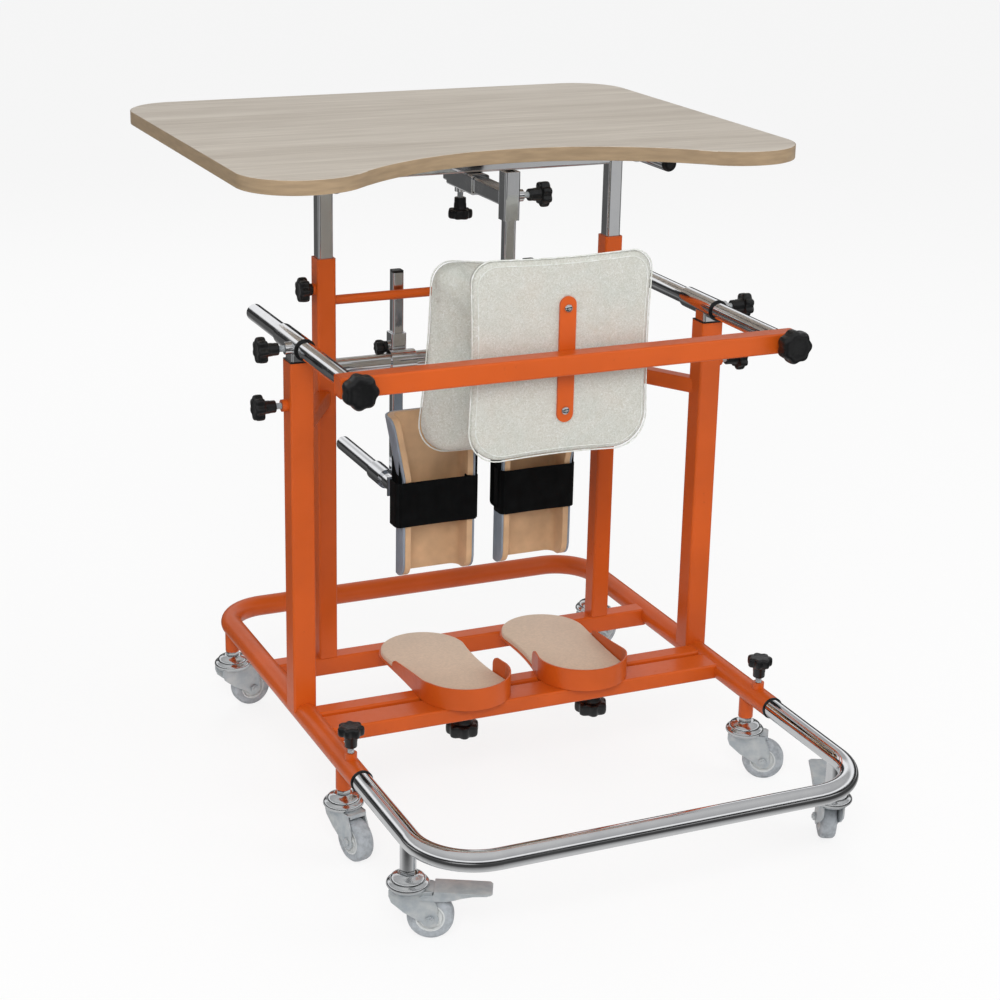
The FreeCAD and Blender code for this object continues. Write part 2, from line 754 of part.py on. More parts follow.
def tray_runners():
    """Two plated tubes under the board, with the spacers that hold them and their end caps."""
    runners = []
    near_y = runner_near_y
    for side in (-1, 1):
        tube = ring_rod((side * runner_x, near_y, runner_z), Y_AXIS,
                        runner_od / 2, runner_od / 2 - runner_wall, runner_length)
        for y in (near_y + spacer_inset, near_y + runner_length - spacer_inset):
            half = spacer_size / 2
            spacer = block((side * runner_x - half, y - half, runner_z),
                           (side * runner_x + half, y + half, tray_bottom))
            tube = tube.fuse(spacer.cut(rod((side * runner_x, y - half, runner_z), Y_AXIS,
                                            runner_od / 2 - runner_wall, spacer_size)))
        runners.append(tube)
    return runners


def tray_outline():
    """The board's edge: straight sides, rounded corners and a curved belly recess."""
    half = tray_width / 2
    near = near_bar_y + tray_near
    far = near_bar_y + tray_far
    r = tray_corner_r
    k = r * (1 - math.sqrt(0.5))
    turn = 2 * math.atan2(recess_depth, recess_half_width)
    radii = recess_half_width / math.sin(turn)
    inner_r = radii * recess_inner_share
    outer_r = radii - inner_r
    top = near + recess_depth
    join_x = inner_r * math.sin(turn)
    join_y = top - inner_r * (1 - math.cos(turn))
    mid_x = recess_half_width - outer_r * math.sin(turn / 2)
    mid_y = near + outer_r * (1 - math.cos(turn / 2))

    def arc(a, b, c):
        return Part.Arc(V(*a, 0), V(*b, 0), V(*c, 0)).toShape()

    def line(a, b):
        return Part.LineSegment(V(*a, 0), V(*b, 0)).toShape()

    edges = [arc((-join_x, join_y), (0, top), (join_x, join_y)),
             arc((join_x, join_y), (mid_x, mid_y), (recess_half_width, near)),
             line((recess_half_width, near), (half - r, near)),
             arc((half - r, near), (half - k, near + k), (half, near + r)),
             line((half, near + r), (half, far - r)),
             arc((half, far - r), (half - k, far - k), (half - r, far)),
             line((half - r, far), (-half + r, far)),
             arc((-half + r, far), (-half + k, far - k), (-half, far - r)),
             line((-half, far - r), (-half, near + r)),
             arc((-half, near + r), (-half + k, near + k), (-half + r, near)),
             line((-half + r, near), (-recess_half_width, near)),
             arc((-recess_half_width, near), (-mid_x, mid_y), (-join_x, join_y))]
    return Part.Wire(edges)


def tray_board():
    """The laminate board with its softened edges."""
    board = Part.Face(tray_outline()).extrude(V(0, 0, tray_thickness))
    rims = [edge for edge in board.Edges
            if edge.BoundBox.ZLength < tray_edge_r]
    board = board.makeFillet(tray_edge_r, rims)
    return moved(board, (0, 0, tray_bottom))


def chest_arm():
    """The sliding square arm and the upright sleeve welded to its end."""
    sleeve_half = chest_sleeve_size / 2
    start_y = chest_y + sleeve_half
    end_y = arm_sleeve_y + chest_arm_insert
    tube = upright_tube(chest_arm_size, chest_arm_size, chest_arm_wall, end_y - start_y, corner_r)
    arm = lay_along_y(tube, (0, start_y, chest_arm_z))
    height = chest_sleeve_height
    sleeve = upright_bar(chest_sleeve_size, chest_sleeve_size, height, corner_r)
    sleeve = moved(sleeve, (0, chest_y, chest_sleeve_bottom))
    face = (sleeve_half, chest_y, chest_lock_z)
    arm = arm.fuse(sleeve).fuse(boss_at(face, X_AXIS))
    bore_size = chest_tube_size + tube_gap
    bore = upright_bar(bore_size, bore_size, height + 2 * overrun, corner_r / 2)
    arm = arm.cut(moved(bore, (0, chest_y, chest_sleeve_bottom - overrun)))
    return arm.cut(bolt_hole(face, X_AXIS, sleeve_half - chest_tube_size / 2))


def chest_tube():
    """The drop tube of the chest support and the plate that its pad is screwed to."""
    length = chest_sleeve_top - chest_tube_bottom
    tube = upright_tube(chest_tube_size, chest_tube_size, chest_tube_wall, length, corner_r)
    tube = moved(tube, (0, chest_y, chest_tube_bottom))
    half = chest_plate_width / 2
    low_z = chest_pad_z - chest_plate_height / 2
    plate = block((-half, chest_pad_back_y, low_z),
                  (half, chest_pad_back_y + plate_thickness, low_z + chest_plate_height))
    return tube.fuse(plate)


def pad_section(inset, level):
    """One outline of a pad, in the XZ plane at Y = level, with its sides drawn in."""
    x = pad_width / 2 - inset
    z = pad_height / 2 - inset
    r = pad_corner_r - inset / 2
    k = r * (1 - math.sqrt(0.5))
    draw = pad_side_draw
    spans = []
    for sx, sz in ((1, 1), (-1, 1), (-1, -1), (1, -1)):
        on_side = V(sx * x, level, sz * (z - r))
        on_top = V(sx * (x - r), level, sz * z)
        middle = V(sx * (x - k), level, sz * (z - k))
        ends = (on_side, on_top) if sx * sz > 0 else (on_top, on_side)
        spans.append((ends[0], middle, ends[1]))
    edges = []
    for index, (first, middle, last) in enumerate(spans):
        after = spans[(index + 1) % len(spans)][0]
        edges.append(Part.Arc(first, middle, last).toShape())
        centre = (last + after) * 0.5
        pull = V(-draw if centre.x > x / 2 else draw if centre.x < -x / 2 else 0, 0,
                 -draw if centre.z > z / 2 else draw if centre.z < -z / 2 else 0)
        edges.append(Part.Arc(last, centre + pull, after).toShape())
    return Part.Wire(edges)


def pad_form(centre_x, back_y, centre_z, way, turn=0.0):
    """A crowned pad that grows from its backing board at back_y, along Y, turned in its plane."""
    sections = []
    for level_share, inset_share in zip(pad_level_shares, pad_inset_shares):
        level = back_y + way * pad_thickness * level_share
        sections.append(pad_section(pad_inset * inset_share, level))
    pad = Part.makeLoft(sections, True, False)
    pad.rotate(V(0, 0, 0), Y_AXIS, turn)
    return moved(pad, (centre_x, 0, centre_z))


def arm_stem(side):
    """A square stem in a side post, with the round guide that holds the arm."""
    bottom = side_post_top - stem_insert
    tube = upright_tube(stem_size, stem_size, stem_wall, arm_z - bottom, corner_r)
    stem = moved(tube, (side * rail_x, side_post_y, bottom))
    start = (side * rail_x, arm_guide_y, arm_z)
    guide = rod(start, Y_AXIS, arm_sleeve_od / 2, arm_guide_length)
    face = (side * (rail_x + arm_sleeve_od / 2), arm_lock_y, arm_z)
    stem = stem.fuse(guide).fuse(boss_at(face, X_AXIS * side))
    bore = rod((side * rail_x, arm_guide_y - overrun, arm_z), Y_AXIS,
               arm_od / 2 + running_gap, arm_guide_length + 2 * overrun)
    stem = stem.cut(bore)
    wall = (arm_sleeve_od - arm_od) / 2
    return stem.cut(bolt_hole(face, X_AXIS * side, wall + slide_gap))


def side_arm(side):
    """A round plated arm tube, plugged and threaded at its near end."""
    start_y = rear_bar_y + rear_bar_size / 2
    length = side_post_y + arm_tail - start_y
    arm = ring_rod((side * rail_x, start_y, arm_z), Y_AXIS,
                   arm_od / 2, arm_od / 2 - arm_wall, length)
    plug = ring_rod((side * rail_x, start_y, arm_z), Y_AXIS,
                    arm_od / 2 - arm_wall, thread_bore_r, arm_plug_length)
    cap = rod((side * rail_x, start_y + length - arm_wall, arm_z), Y_AXIS,
              arm_od / 2 - arm_wall / 2, arm_wall)
    return arm.fuse(plug).fuse(cap)


def rear_bar():
    """The square bar across the arm ends, with the upright strip that carries the rear pad."""
    length = rail_spacing + 2 * rear_bar_overhang
    tube = upright_tube(rear_bar_size, rear_bar_size, rear_bar_wall, length, corner_r)
    bar = lay_along_x(tube, (-length / 2, rear_bar_y, arm_z))
    for side in (-1, 1):
        start = (side * rail_x, rear_bar_y - rear_bar_size, arm_z)
        bar = bar.cut(rod(start, Y_AXIS, thread_bore_r, 2 * rear_bar_size))
    half = strip_width / 2
    reach = strip_height / 2 - half
    strip = block((strip_x - half, strip_y, arm_z - reach),
                  (strip_x + half, strip_y + plate_thickness, arm_z + reach))
    for way in (-1, 1):
        strip = strip.fuse(rod((strip_x, strip_y, arm_z + way * reach), Y_AXIS,
                               half, plate_thickness))
    return bar.fuse(strip.removeSplitter())


def knee_clamp(index, side):
    """The round clamp on the knee bar and the upright square sleeve welded behind it."""
    x = side * knee_tube_x[index]
    start = (x - knee_clamp_length / 2, tray_post_y, knee_bar_z)
    clamp = rod(start, X_AXIS, knee_clamp_od / 2, knee_clamp_length)
    sleeve = upright_bar(knee_sleeve_size, knee_sleeve_size, knee_sleeve_height, corner_r)
    sleeve_z = knee_bar_z - knee_clamp_od / 2
    clamp = clamp.fuse(moved(sleeve, (x, knee_tube_y, sleeve_z)))
    face = (x + side * knee_sleeve_size / 2, knee_tube_y, knee_lock_z)
    clamp = clamp.fuse(boss_at(face, X_AXIS * side, low_boss_length))
    bore_size = knee_tube_size + tube_gap
    bore = upright_bar(bore_size, bore_size, knee_sleeve_height + 2 * overrun, corner_r / 2)
    clamp = clamp.cut(moved(bore, (x, knee_tube_y, sleeve_z - overrun)))
    bar_bore = rod((x - knee_clamp_length, tray_post_y, knee_bar_z), X_AXIS,
                   knee_bar_od / 2 + running_gap, 2 * knee_clamp_length)
    clamp = clamp.cut(bar_bore)
    return clamp.cut(bolt_hole(face, X_AXIS * side, knee_sleeve_size / 2 - knee_tube_size / 2))


def knee_tube(index, side):
    """The square upright of a knee support and the round sleeve welded beside its foot."""
    x = side * (knee_tube_x[index] + knee_rod_offset)
    length = knee_tube_top - knee_tube_bottom
    tube = upright_tube(knee_tube_size, knee_tube_size, knee_tube_wall, length, corner_r)
    tube = moved(tube, (side * knee_tube_x[index], knee_tube_y, knee_tube_bottom))
    start = (x, knee_tube_y - knee_rod_sleeve_length / 2, knee_rod_z)
    sleeve = rod(start, Y_AXIS, knee_rod_sleeve_od / 2, knee_rod_sleeve_length)
    bore = (x, knee_tube_y - knee_rod_sleeve_length, knee_rod_z)
    hole = rod(bore, Y_AXIS, knee_rod_od / 2 + running_gap, 2 * knee_rod_sleeve_length)
    return tube.fuse(sleeve).cut(hole)


def shell_centre(index):
    """How far a knee shell's middle lies from the centre plane."""
    return knee_tube_x[index] - shell_inset


def knee_rod(index, side):
    """The round depth rod and the plate that it holds behind the shell."""
    x = knee_tube_x[index] + knee_rod_offset
    start_y = shell_back_y + plate_thickness
    length = near_bar_y + knee_rod_far - start_y
    bar = rod((side * x, start_y, knee_rod_z), Y_AXIS, knee_rod_od / 2, length)
    inner, outer = sorted((side * (shell_centre(index) - knee_plate_reach),
                           side * (x + knee_rod_od / 2)))
    half = knee_plate_height / 2
    plate = block((inner, shell_back_y, knee_rod_z - half),
                  (outer, shell_back_y + plate_thickness, knee_rod_z + half))
    return bar.fuse(plate)


def gutter_wire(grow, flare, side, wall, z, centre):
    """A closed U outline at a height, open towards the user; grow shrinks or widens the U."""
    out_x = shell_width / 2 + grow
    lateral = out_x + flare
    depth = shell_depth + grow
    r = shell_back_r + grow
    inner_r = r - wall
    k = math.sqrt(0.5)

    def point(x, y):
        return V(side * (centre + x), shell_y + y, z)

    outer = [point(lateral, 0), point(lateral, depth - r), point(lateral - r, depth),
             point(r - out_x, depth), point(-out_x, depth - r), point(-out_x, 0)]
    inner = [point(wall - out_x, 0), point(wall - out_x, depth - r), point(r - out_x, depth - wall),
             point(lateral - r, depth - wall), point(lateral - wall, depth - r),
             point(lateral - wall, 0)]
    outer_mids = (point(lateral - r + r * k, depth - r + r * k),
                  point(r - out_x - r * k, depth - r + r * k))
    inner_mids = (point(r - out_x - inner_r * k, depth - r + inner_r * k),
                  point(lateral - r + inner_r * k, depth - r + inner_r * k))
    edges = [Part.LineSegment(outer[0], outer[1]), Part.Arc(outer[1], outer_mids[0], outer[2]),
             Part.LineSegment(outer[2], outer[3]), Part.Arc(outer[3], outer_mids[1], outer[4]),
             Part.LineSegment(outer[4], outer[5]), Part.LineSegment(outer[5], inner[0]),
             Part.LineSegment(inner[0], inner[1]), Part.Arc(inner[1], inner_mids[0], inner[2]),
             Part.LineSegment(inner[2], inner[3]), Part.Arc(inner[3], inner_mids[1], inner[4]),
             Part.LineSegment(inner[4], inner[5]), Part.LineSegment(inner[5], outer[0])]
    return Part.Wire([edge.toShape() for edge in edges])


def gutter(grow, wall, side, centre):
    """A gutter-shaped wall that flares at its outer top, with rounded free corners."""
    levels = ((shell_bottom, 0.0), (shell_flare_z, 0.0), (shell_top, shell_flare))
    wires = [gutter_wire(grow, flare, side, wall, z, centre) for z, flare in levels]
    shape = Part.makeLoft(wires, True, True)
    reach = shell_width + shell_flare
    r = shell_corner_r
    for z, way in ((shell_bottom, 1), (shell_top, -1)):
        low, high = sorted((z - way * overrun, z + way * r))
        corner = block((side * centre - reach, shell_y - overrun, low),
                       (side * centre + reach, shell_y + r, high))
        keep = rod((side * centre - reach, shell_y + r, z + way * r), X_AXIS, r, 2 * reach)
        shape = shape.cut(corner.cut(keep))
    return shape


def knee_shell(index, side):
    """The hard gutter and its soft lining."""
    centre = shell_centre(index)
    shell = gutter(0.0, shell_wall, side, centre)
    return shell, gutter(-shell_wall, lining_thickness, side, centre)


def knee_strap(index, side):
    """The elastic band across the open front of a knee shell, slack on its outer side."""
    inner = shell_centre(index) - shell_width / 2 - slide_gap
    outer = shell_centre(index) + shell_width / 2 + slide_gap + strap_slack[index]
    front = shell_y - strap_front_gap - strap_thickness
    low_x, high_x = sorted((side * (inner - strap_thickness), side * (outer + strap_thickness)))
    top = strap_bottom + strap_height
    band = block((low_x, front, strap_bottom), (high_x, shell_y + strap_leg, top))
    low_x, high_x = sorted((side * inner, side * outer))
    hollow = block((low_x, front + strap_thickness, strap_bottom - overrun),
                   (high_x, shell_back_y + overrun, top + overrun))
    uprights = [edge for edge in band.Edges
                if edge.BoundBox.ZLength > strap_height / 2
                and edge.BoundBox.YMax < front + overrun]
    band = band.makeFillet(strap_thickness * 2, uprights)
    return band.cut(hollow)


def foot_outline(offset, side):
    """The sole's outline about its heel, toe away from the user, grown by an offset."""
    heel = heel_r + offset
    toe = toe_r + offset
    inner = waist_half_width - arch_draw + offset
    outer = waist_half_width + offset
    mid = sole_reach / 2

    def point(x, y):
        return V(side * x, y, 0)

    edges = [Part.Arc(point(-heel, 0), point(0, -heel), point(heel, 0)),
             Part.Arc(point(heel, 0), point(outer, mid), point(toe, sole_reach)),
             Part.Arc(point(toe, sole_reach), point(0, sole_reach + toe), point(-toe, sole_reach)),
             Part.Arc(point(-toe, sole_reach), point(-inner, mid), point(-heel, 0))]
    return Part.Face(Part.Wire([edge.toShape() for edge in edges]))


def placed_foot(shape, index, side):
    """Turn a footplate piece out and move it over its bolt."""
    piece = shape.copy()
    piece.rotate(V(0, 0, 0), Z_AXIS, -side * foot_toe_out[index])
    piece.translate(V(side * (foot_bolt_x[index] + foot_shift_x[index]), slot_y, 0))
    return piece


def rim_side(side, length, end_height, slope_start):
    """The space that one side of the heel rim fills: full height, then falling to a round end."""
    reach = 2 * heel_r
    tip_y = length - rim_tip_r
    points = [V(0, -reach, 0), V(0, -reach, rim_height), V(0, slope_start, rim_height),
              V(0, tip_y, end_height)]
    edges = [Part.LineSegment(a, b).toShape() for a, b in zip(points, points[1:])]
    k = rim_tip_r * math.sqrt(0.5)
    low = V(0, length, end_height - rim_tip_r)
    middle = V(0, tip_y + k, end_height - rim_tip_r + k)
    edges.append(Part.Arc(points[-1], middle, low).toShape())
    corner = V(0, length, 0)
    edges.append(Part.LineSegment(low, corner).toShape())
    edges.append(Part.LineSegment(corner, points[0]).toShape())
    return Part.Face(Part.Wire(edges)).extrude(V(side * reach, 0, 0))


def footplate(index, side):
    """The sheet plate with its raised rim round the heel, bored for its bolt."""
    sheet = foot_outline(0.0, side).extrude(V(0, 0, sheet_thickness))
    rim = foot_outline(0.0, side).extrude(V(0, 0, rim_height))
    rim = rim.cut(foot_outline(-sheet_thickness, side).extrude(V(0, 0, rim_height)))
    outer = rim_side(side, rim_outer_length, rim_tip_height, rim_slope_start)
    inner = rim_side(-side, rim_inner_length, rim_height, 0)
    plate = sheet.fuse(rim.common(outer)).fuse(rim.common(inner)).removeSplitter()
    plate = placed_foot(moved(plate, (0, 0, foot_z)), index, side)
    start = (side * foot_bolt_x[index], slot_y, foot_z - overrun)
    return plate.cut(rod(start, Z_AXIS, thread_bore_r, rim_height))


def insole(index, side):
    """The soft insole, with a pocket over the bolt head."""
    sole = foot_outline(-sheet_thickness - slide_gap, side).extrude(V(0, 0, insole_thickness))
    sole = placed_foot(moved(sole, (0, 0, foot_z + sheet_thickness)), index, side)
    pocket_r = foot_bolt_head_r + slide_gap
    start = (side * foot_bolt_x[index], slot_y, foot_z)
    pocket = rod(start, Z_AXIS, pocket_r, sheet_thickness + foot_bolt_head_t + slide_gap)
    return sole.cut(pocket)


def foot_bolt(index, side):
    """The bolt through the slot, with its head, washer and star knob below."""
    x = side * foot_bolt_x[index]
    head_z = foot_z + sheet_thickness + slide_gap / 2
    under_z = rail_z - slot_rail_height / 2 - slide_gap
    hub_z = under_z - foot_washer_t - foot_hub_l
    knob_z = hub_z - foot_head_t
    bolt = rod((x, slot_y, knob_z), Z_AXIS, stud_r, head_z - knob_z)
    head = rod((x, slot_y, head_z), Z_AXIS, foot_bolt_head_r, foot_bolt_head_t)
    washer = rod((x, slot_y, under_z - foot_washer_t), Z_AXIS, foot_washer_r, foot_washer_t)
    hub = rod((x, slot_y, hub_z), Z_AXIS, foot_hub_r, foot_hub_l)
    knob = moved(lobed_head(foot_head_r, foot_head_t), (x, slot_y, knob_z))
    return bolt.fuse(head).fuse(washer).fuse(hub).fuse(knob)


def lock_knobs():
    """Every star knob that clamps a sliding tube, by name."""
    sleeve_y = arm_sleeve_y + arm_lock_in_sleeve
    sleeve_z = chest_arm_z - arm_sleeve_size / 2 - boss_length
    arm_reach = boss_length + arm_sleeve_size / 2 - chest_arm_size / 2 - slide_gap
    chest_reach = boss_length + chest_sleeve_size / 2 - chest_tube_size / 2 - slide_gap
    knobs = {
        "knob_arm_sleeve": star_knob((0, sleeve_y, sleeve_z), -Z_AXIS, arm_reach),
        "knob_chest_sleeve": star_knob((chest_sleeve_size / 2 + boss_length, chest_y, chest_lock_z),
                                       X_AXIS, chest_reach),
    }
    for index, (side, word) in enumerate(sides):
        out = X_AXIS * side
        reach = boss_length + (rail_od - extension_od) / 2 - slide_gap
        knobs["knob_base_" + word] = star_knob(base_knob_seat(side, boss_length), Z_AXIS, reach)
        x = side * (tray_post_x + tray_post_size / 2 + low_boss_length)
        reach = low_boss_length + tray_post_size / 2 - lift_size / 2 - slide_gap
        knobs["knob_tray_post_" + word] = star_knob((x, tray_post_y, tray_lock_z), out, reach,
                                                    "short")
        x = side * (rail_x + side_post_size / 2 + boss_length)
        reach = boss_length + side_post_size / 2 - stem_size / 2 - slide_gap
        knobs["knob_side_post_" + word] = star_knob((x, side_post_y, stem_lock_z), out, reach)
        x = side * (rail_x + arm_sleeve_od / 2 + boss_length)
        reach = boss_length + (arm_sleeve_od - arm_od) / 2 - slide_gap
        knobs["knob_side_arm_" + word] = star_knob((x, arm_lock_y, arm_z), out, reach)
        y = rear_bar_y - rear_bar_size / 2
        reach = rear_bar_size + arm_plug_length - slide_gap
        knobs["knob_rear_bar_" + word] = star_knob((side * rail_x, y, arm_z), -Y_AXIS, reach,
                                              "big")
        x = side * (knee_tube_x[index] + knee_sleeve_size / 2 + low_boss_length)
        reach = low_boss_length + knee_sleeve_size / 2 - knee_tube_size / 2 - slide_gap
        knobs["knob_knee_" + word] = star_knob((x, knee_tube_y, knee_lock_z), out, reach, "knee")
    return knobs


def write_frame():
    save("base_tube", base_tube())
    save("cross_rails", *cross_rails())
    save("frame_posts", side_post(-1), side_post(1), tray_post(-1), tray_post(1))
    save("frame_braces", *frame_braces())
    save("knee_bar", knee_bar())
    save("extension_tube", extension_tube())


def write_casters():
    wheel = caster_wheel()
    for name in caster_names:
        fork = caster_fork(name in braked_casters)
        save("caster_fork_" + name, placed_caster(fork, name))
        save("caster_wheel_" + name, *[placed_caster(piece, name) for piece in wheel])
    for name, tilt in zip(braked_casters, pedal_tilts):
        save("brake_pedal_" + name, *[placed_caster(piece, name) for piece in brake_pedal(tilt)])


def write_tray():
    save("lift_frame", lift_frame())
    save("tray_runners", *tray_runners())
    save("tray_board", tray_board())
    save("chest_arm", chest_arm())
    save("chest_tube", chest_tube())
    save("chest_pad", pad_form(0, chest_pad_back_y, chest_pad_z, -1, chest_pad_turn))


def write_arms():
    save("arm_stems", arm_stem(-1), arm_stem(1))
    save("side_arms", side_arm(-1), side_arm(1))
    save("rear_bar", rear_bar())
    save("rear_pad", pad_form(strip_x + rear_pad_shift, rear_pad_y, arm_z + rear_pad_rise, 1))


def write_knees_and_feet():
    for index, (side, word) in enumerate(sides):
        save("knee_clamp_" + word, knee_clamp(index, side))
        save("knee_tube_" + word, knee_tube(index, side))
        save("knee_rod_" + word, knee_rod(index, side))
        save("knee_shell_" + word, *knee_shell(index, side))
        save("knee_strap_" + word, knee_strap(index, side))
        save("foot_bolt_" + word, foot_bolt(index, side))
        save("footplate_" + word, footplate(index, side))
        save("insole_" + word, insole(index, side))


def write_knobs():
    for name, knob in lock_knobs().items():
        save(name, knob)


os.makedirs("parts", exist_ok=True)
write_frame()
write_casters()
write_tray()
write_arms()
write_knees_and_feet()
write_knobs()
print("parts written:", len(os.listdir("parts")))
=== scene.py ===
"""Standing frame with a tray table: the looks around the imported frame, in metres."""

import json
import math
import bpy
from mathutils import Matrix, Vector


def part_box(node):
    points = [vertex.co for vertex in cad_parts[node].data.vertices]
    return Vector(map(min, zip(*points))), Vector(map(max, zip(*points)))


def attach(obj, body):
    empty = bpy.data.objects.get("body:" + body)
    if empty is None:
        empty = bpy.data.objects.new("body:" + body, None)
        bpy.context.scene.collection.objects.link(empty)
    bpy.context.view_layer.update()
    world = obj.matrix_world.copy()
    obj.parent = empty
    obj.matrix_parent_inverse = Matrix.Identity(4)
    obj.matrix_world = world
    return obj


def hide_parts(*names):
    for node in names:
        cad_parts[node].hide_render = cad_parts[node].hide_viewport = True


bl_info = {
    "name": "Standing Frame",
    "version": (1, 0, 0),
    "blender": (4, 5, 0),
    "location": "View3D > Sidebar > Standing Frame",
    "description": "Dresses a standing frame with pads, knee supports, casters, knobs and finishes",
    "category": "Add Mesh",
}

import bmesh
import bpy
from bpy.props import FloatProperty, FloatVectorProperty, IntProperty, PointerProperty
from bpy.types import Operator, Panel, PropertyGroup
from mathutils import Matrix, Vector

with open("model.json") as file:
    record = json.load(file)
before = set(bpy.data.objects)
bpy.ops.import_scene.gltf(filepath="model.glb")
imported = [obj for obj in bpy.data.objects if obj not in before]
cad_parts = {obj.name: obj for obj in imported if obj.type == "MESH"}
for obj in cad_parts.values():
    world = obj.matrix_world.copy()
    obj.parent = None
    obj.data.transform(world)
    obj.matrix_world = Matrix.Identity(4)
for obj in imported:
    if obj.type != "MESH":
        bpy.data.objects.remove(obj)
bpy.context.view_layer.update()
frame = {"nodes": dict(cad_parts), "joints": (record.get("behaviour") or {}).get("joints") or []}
joints = {joint["name"]: joint for joint in frame["joints"]}

MM = 0.001
FULL_TURN = 2 * math.pi
WHITE = (1, 1, 1, 1)
SIDES = {"left": -1, "right": 1}
CASTERS = ("rear_left", "rear_right", "front_left", "front_right", "near_left", "near_right")
BRAKED_TILTS = {"near_left": math.radians(1), "near_right": math.radians(-6)}


def length_setting(name, description, default):
    """A size in metres that a user may change."""
    return FloatProperty(name=name, description=description, default=default,
                         subtype="DISTANCE")


def colour_setting(name, description, default):
    """A colour that a user may change."""
    return FloatVectorProperty(name=name, description=description, default=default,
                               subtype="COLOR")


class FinishSettings(PropertyGroup):
    """The colours of the frame's finishes."""
    powder: colour_setting("Powder coat", "Colour of the coated tubes", (0.555, 0.088, 0.008))
    laminate: colour_setting("Laminate", "Main tone of the tray board", (0.600, 0.540, 0.460))
    laminate_dark: colour_setting("Laminate grain", "Tone of its streaks", (0.430, 0.370, 0.300))
    edge_band: colour_setting("Edge band", "Colour of the board's edge", (0.335, 0.240, 0.145))
    vinyl: colour_setting("Vinyl", "Ground tone of the pad covers", (0.505, 0.520, 0.465))
    # Pearl tone: partly the vinyl's own, partly painted sparkle highlight on the covers and painted
    # highlight on the beads.
    vinyl_pearl_and_glint: colour_setting("Vinyl pearl", "Bright tone of the covers", (0.93, 0.95, 0.93))
    shell: colour_setting("Knee shell", "Colour of the moulded shells", (0.235, 0.275, 0.325))
    lining: colour_setting("Lining", "Colour of the foam leather lining", (0.57, 0.36, 0.20))
    insole: colour_setting("Insole", "Colour of the footplate insoles", (0.585, 0.44, 0.325))
    tyre: colour_setting("Tyre", "Colour of the caster tyres", (0.36, 0.385, 0.41))


class PadSettings(PropertyGroup):
    """Sizes of the chest and back pads."""
    width: length_setting("Width", "Width of a pad", 0.234)
    height: length_setting("Height", "Height of a pad", 0.244)
    depth: length_setting("Depth", "Thickness of a pad with its board", 0.036)
    top_corner: length_setting("Top corner radius", "Radius of the top corners", 0.026)
    low_corner: length_setting("Low corner radius", "Radius of the low corners", 0.040)
    draw: length_setting("Side draw", "How far the sides pull in", 0.0025)
    turn: FloatProperty(name="Chest pad turn", description="Turn of the chest pad in its plane",
                        subtype="ANGLE", default=math.radians(4.5))
    shrink: length_setting("Start inset", "How much smaller a pad starts", 0.0015)
    voxel: length_setting("Voxel", "Cell of the cloth mesh", 0.004)
    swell: length_setting("Swell limit", "Most that a point may move out", 0.004)
    pressure: FloatProperty(name="Pressure", description="Pressure inside the cover", default=4.0)
    piping: length_setting("Bead radius", "Radius of the welded bead", 0.0009)


class KneeSettings(PropertyGroup):
    """Sizes of the knee shells and straps."""
    width: length_setting("Shell width", "Outer width of a shell", 0.100)
    back_radius: length_setting("Back radius", "Radius of the gutter's corners", 0.022)
    low_corner: length_setting("Low corner radius", "Radius of the low corners", 0.020)
    top_corner: length_setting("Top corner radius", "Radius of the top corners", 0.014)
    flare_start: length_setting("Flare start", "Height where the flare starts", 0.392)
    flare: length_setting("Flare", "How far the outer top leans out", 0.016)
    wall: length_setting("Shell wall", "Thickness of the hard shell", 0.003)
    foam: length_setting("Lining thickness", "Thickness of the lining", 0.008)
    strap: length_setting("Strap thickness", "Thickness of the elastic band", 0.0024)


class KnobSettings(PropertyGroup):
    """Sizes of the star knobs."""
    head: length_setting("Head radius", "Radius of a small star head", 0.0165)
    head_depth: length_setting("Head depth", "Depth of a small star head", 0.013)
    hub: length_setting("Hub radius", "Radius of a small knob's hub", 0.008)
    hub_length: length_setting("Hub length", "Length of a small knob's hub", 0.015)
    bar_head: length_setting("Bar head radius", "Head radius on the rear bar", 0.0215)
    bar_head_depth: length_setting("Bar head depth", "Head depth on the rear bar", 0.020)
    knee_head: length_setting("Knee head size", "Radius and depth at the knees", 0.010)
    foot_head: length_setting("Foot head radius", "Head radius under a footplate", 0.022)
    foot_head_depth: length_setting("Foot head depth", "Its depth there", 0.018)
    foot_hub: length_setting("Foot hub radius", "Hub radius under a footplate", 0.012)
    foot_hub_length: length_setting("Foot hub length", "Its length there", 0.020)
    stud: length_setting("Stud radius", "Radius of the threaded studs", 0.004)
    lobes: IntProperty(name="Lobes", description="Number of lobes on a head", default=7)


class CasterSettings(PropertyGroup):
    """Sizes of the casters."""
    wheel: length_setting("Wheel radius", "Radius of a wheel", 0.027)
    width: length_setting("Wheel width", "Width of a wheel", 0.020)
    trail: length_setting("Trail", "From the swivel axis to the axle", 0.026)
    hub: length_setting("Hub radius", "Radius where the tyre starts", 0.017)


class StageSettings(PropertyGroup):
    """The floor, the lamps and the camera."""
    key: FloatProperty(name="Key light", description="Power of the large lamp", default=62.0)
    fill: FloatProperty(name="Fill light", description="Power of the fill lamp", default=24.0)
    rim: FloatProperty(name="Back light", description="Power of the lamp behind", default=22.0)
    sky: FloatProperty(name="Sky", description="Strength of the even light", default=0.62)
    lens: FloatProperty(name="Lens", description="Focal length in millimetres", default=76.5)


def settings(group):
    return getattr(bpy.context.scene, "standing_" + group)


def object_mode():
    if bpy.context.object and bpy.context.object.mode != "OBJECT":
        bpy.ops.object.mode_set(mode="OBJECT")


def nothing_selected():
    object_mode()
    bpy.ops.object.select_all(action="DESELECT")


def only(piece):
    """Make one object the only selected one, and the active one."""
    nothing_selected()
    piece.select_set(True)
    bpy.context.view_layer.objects.active = piece
    return piece


def edit(piece):
    only(piece)
    bpy.ops.object.mode_set(mode="EDIT")


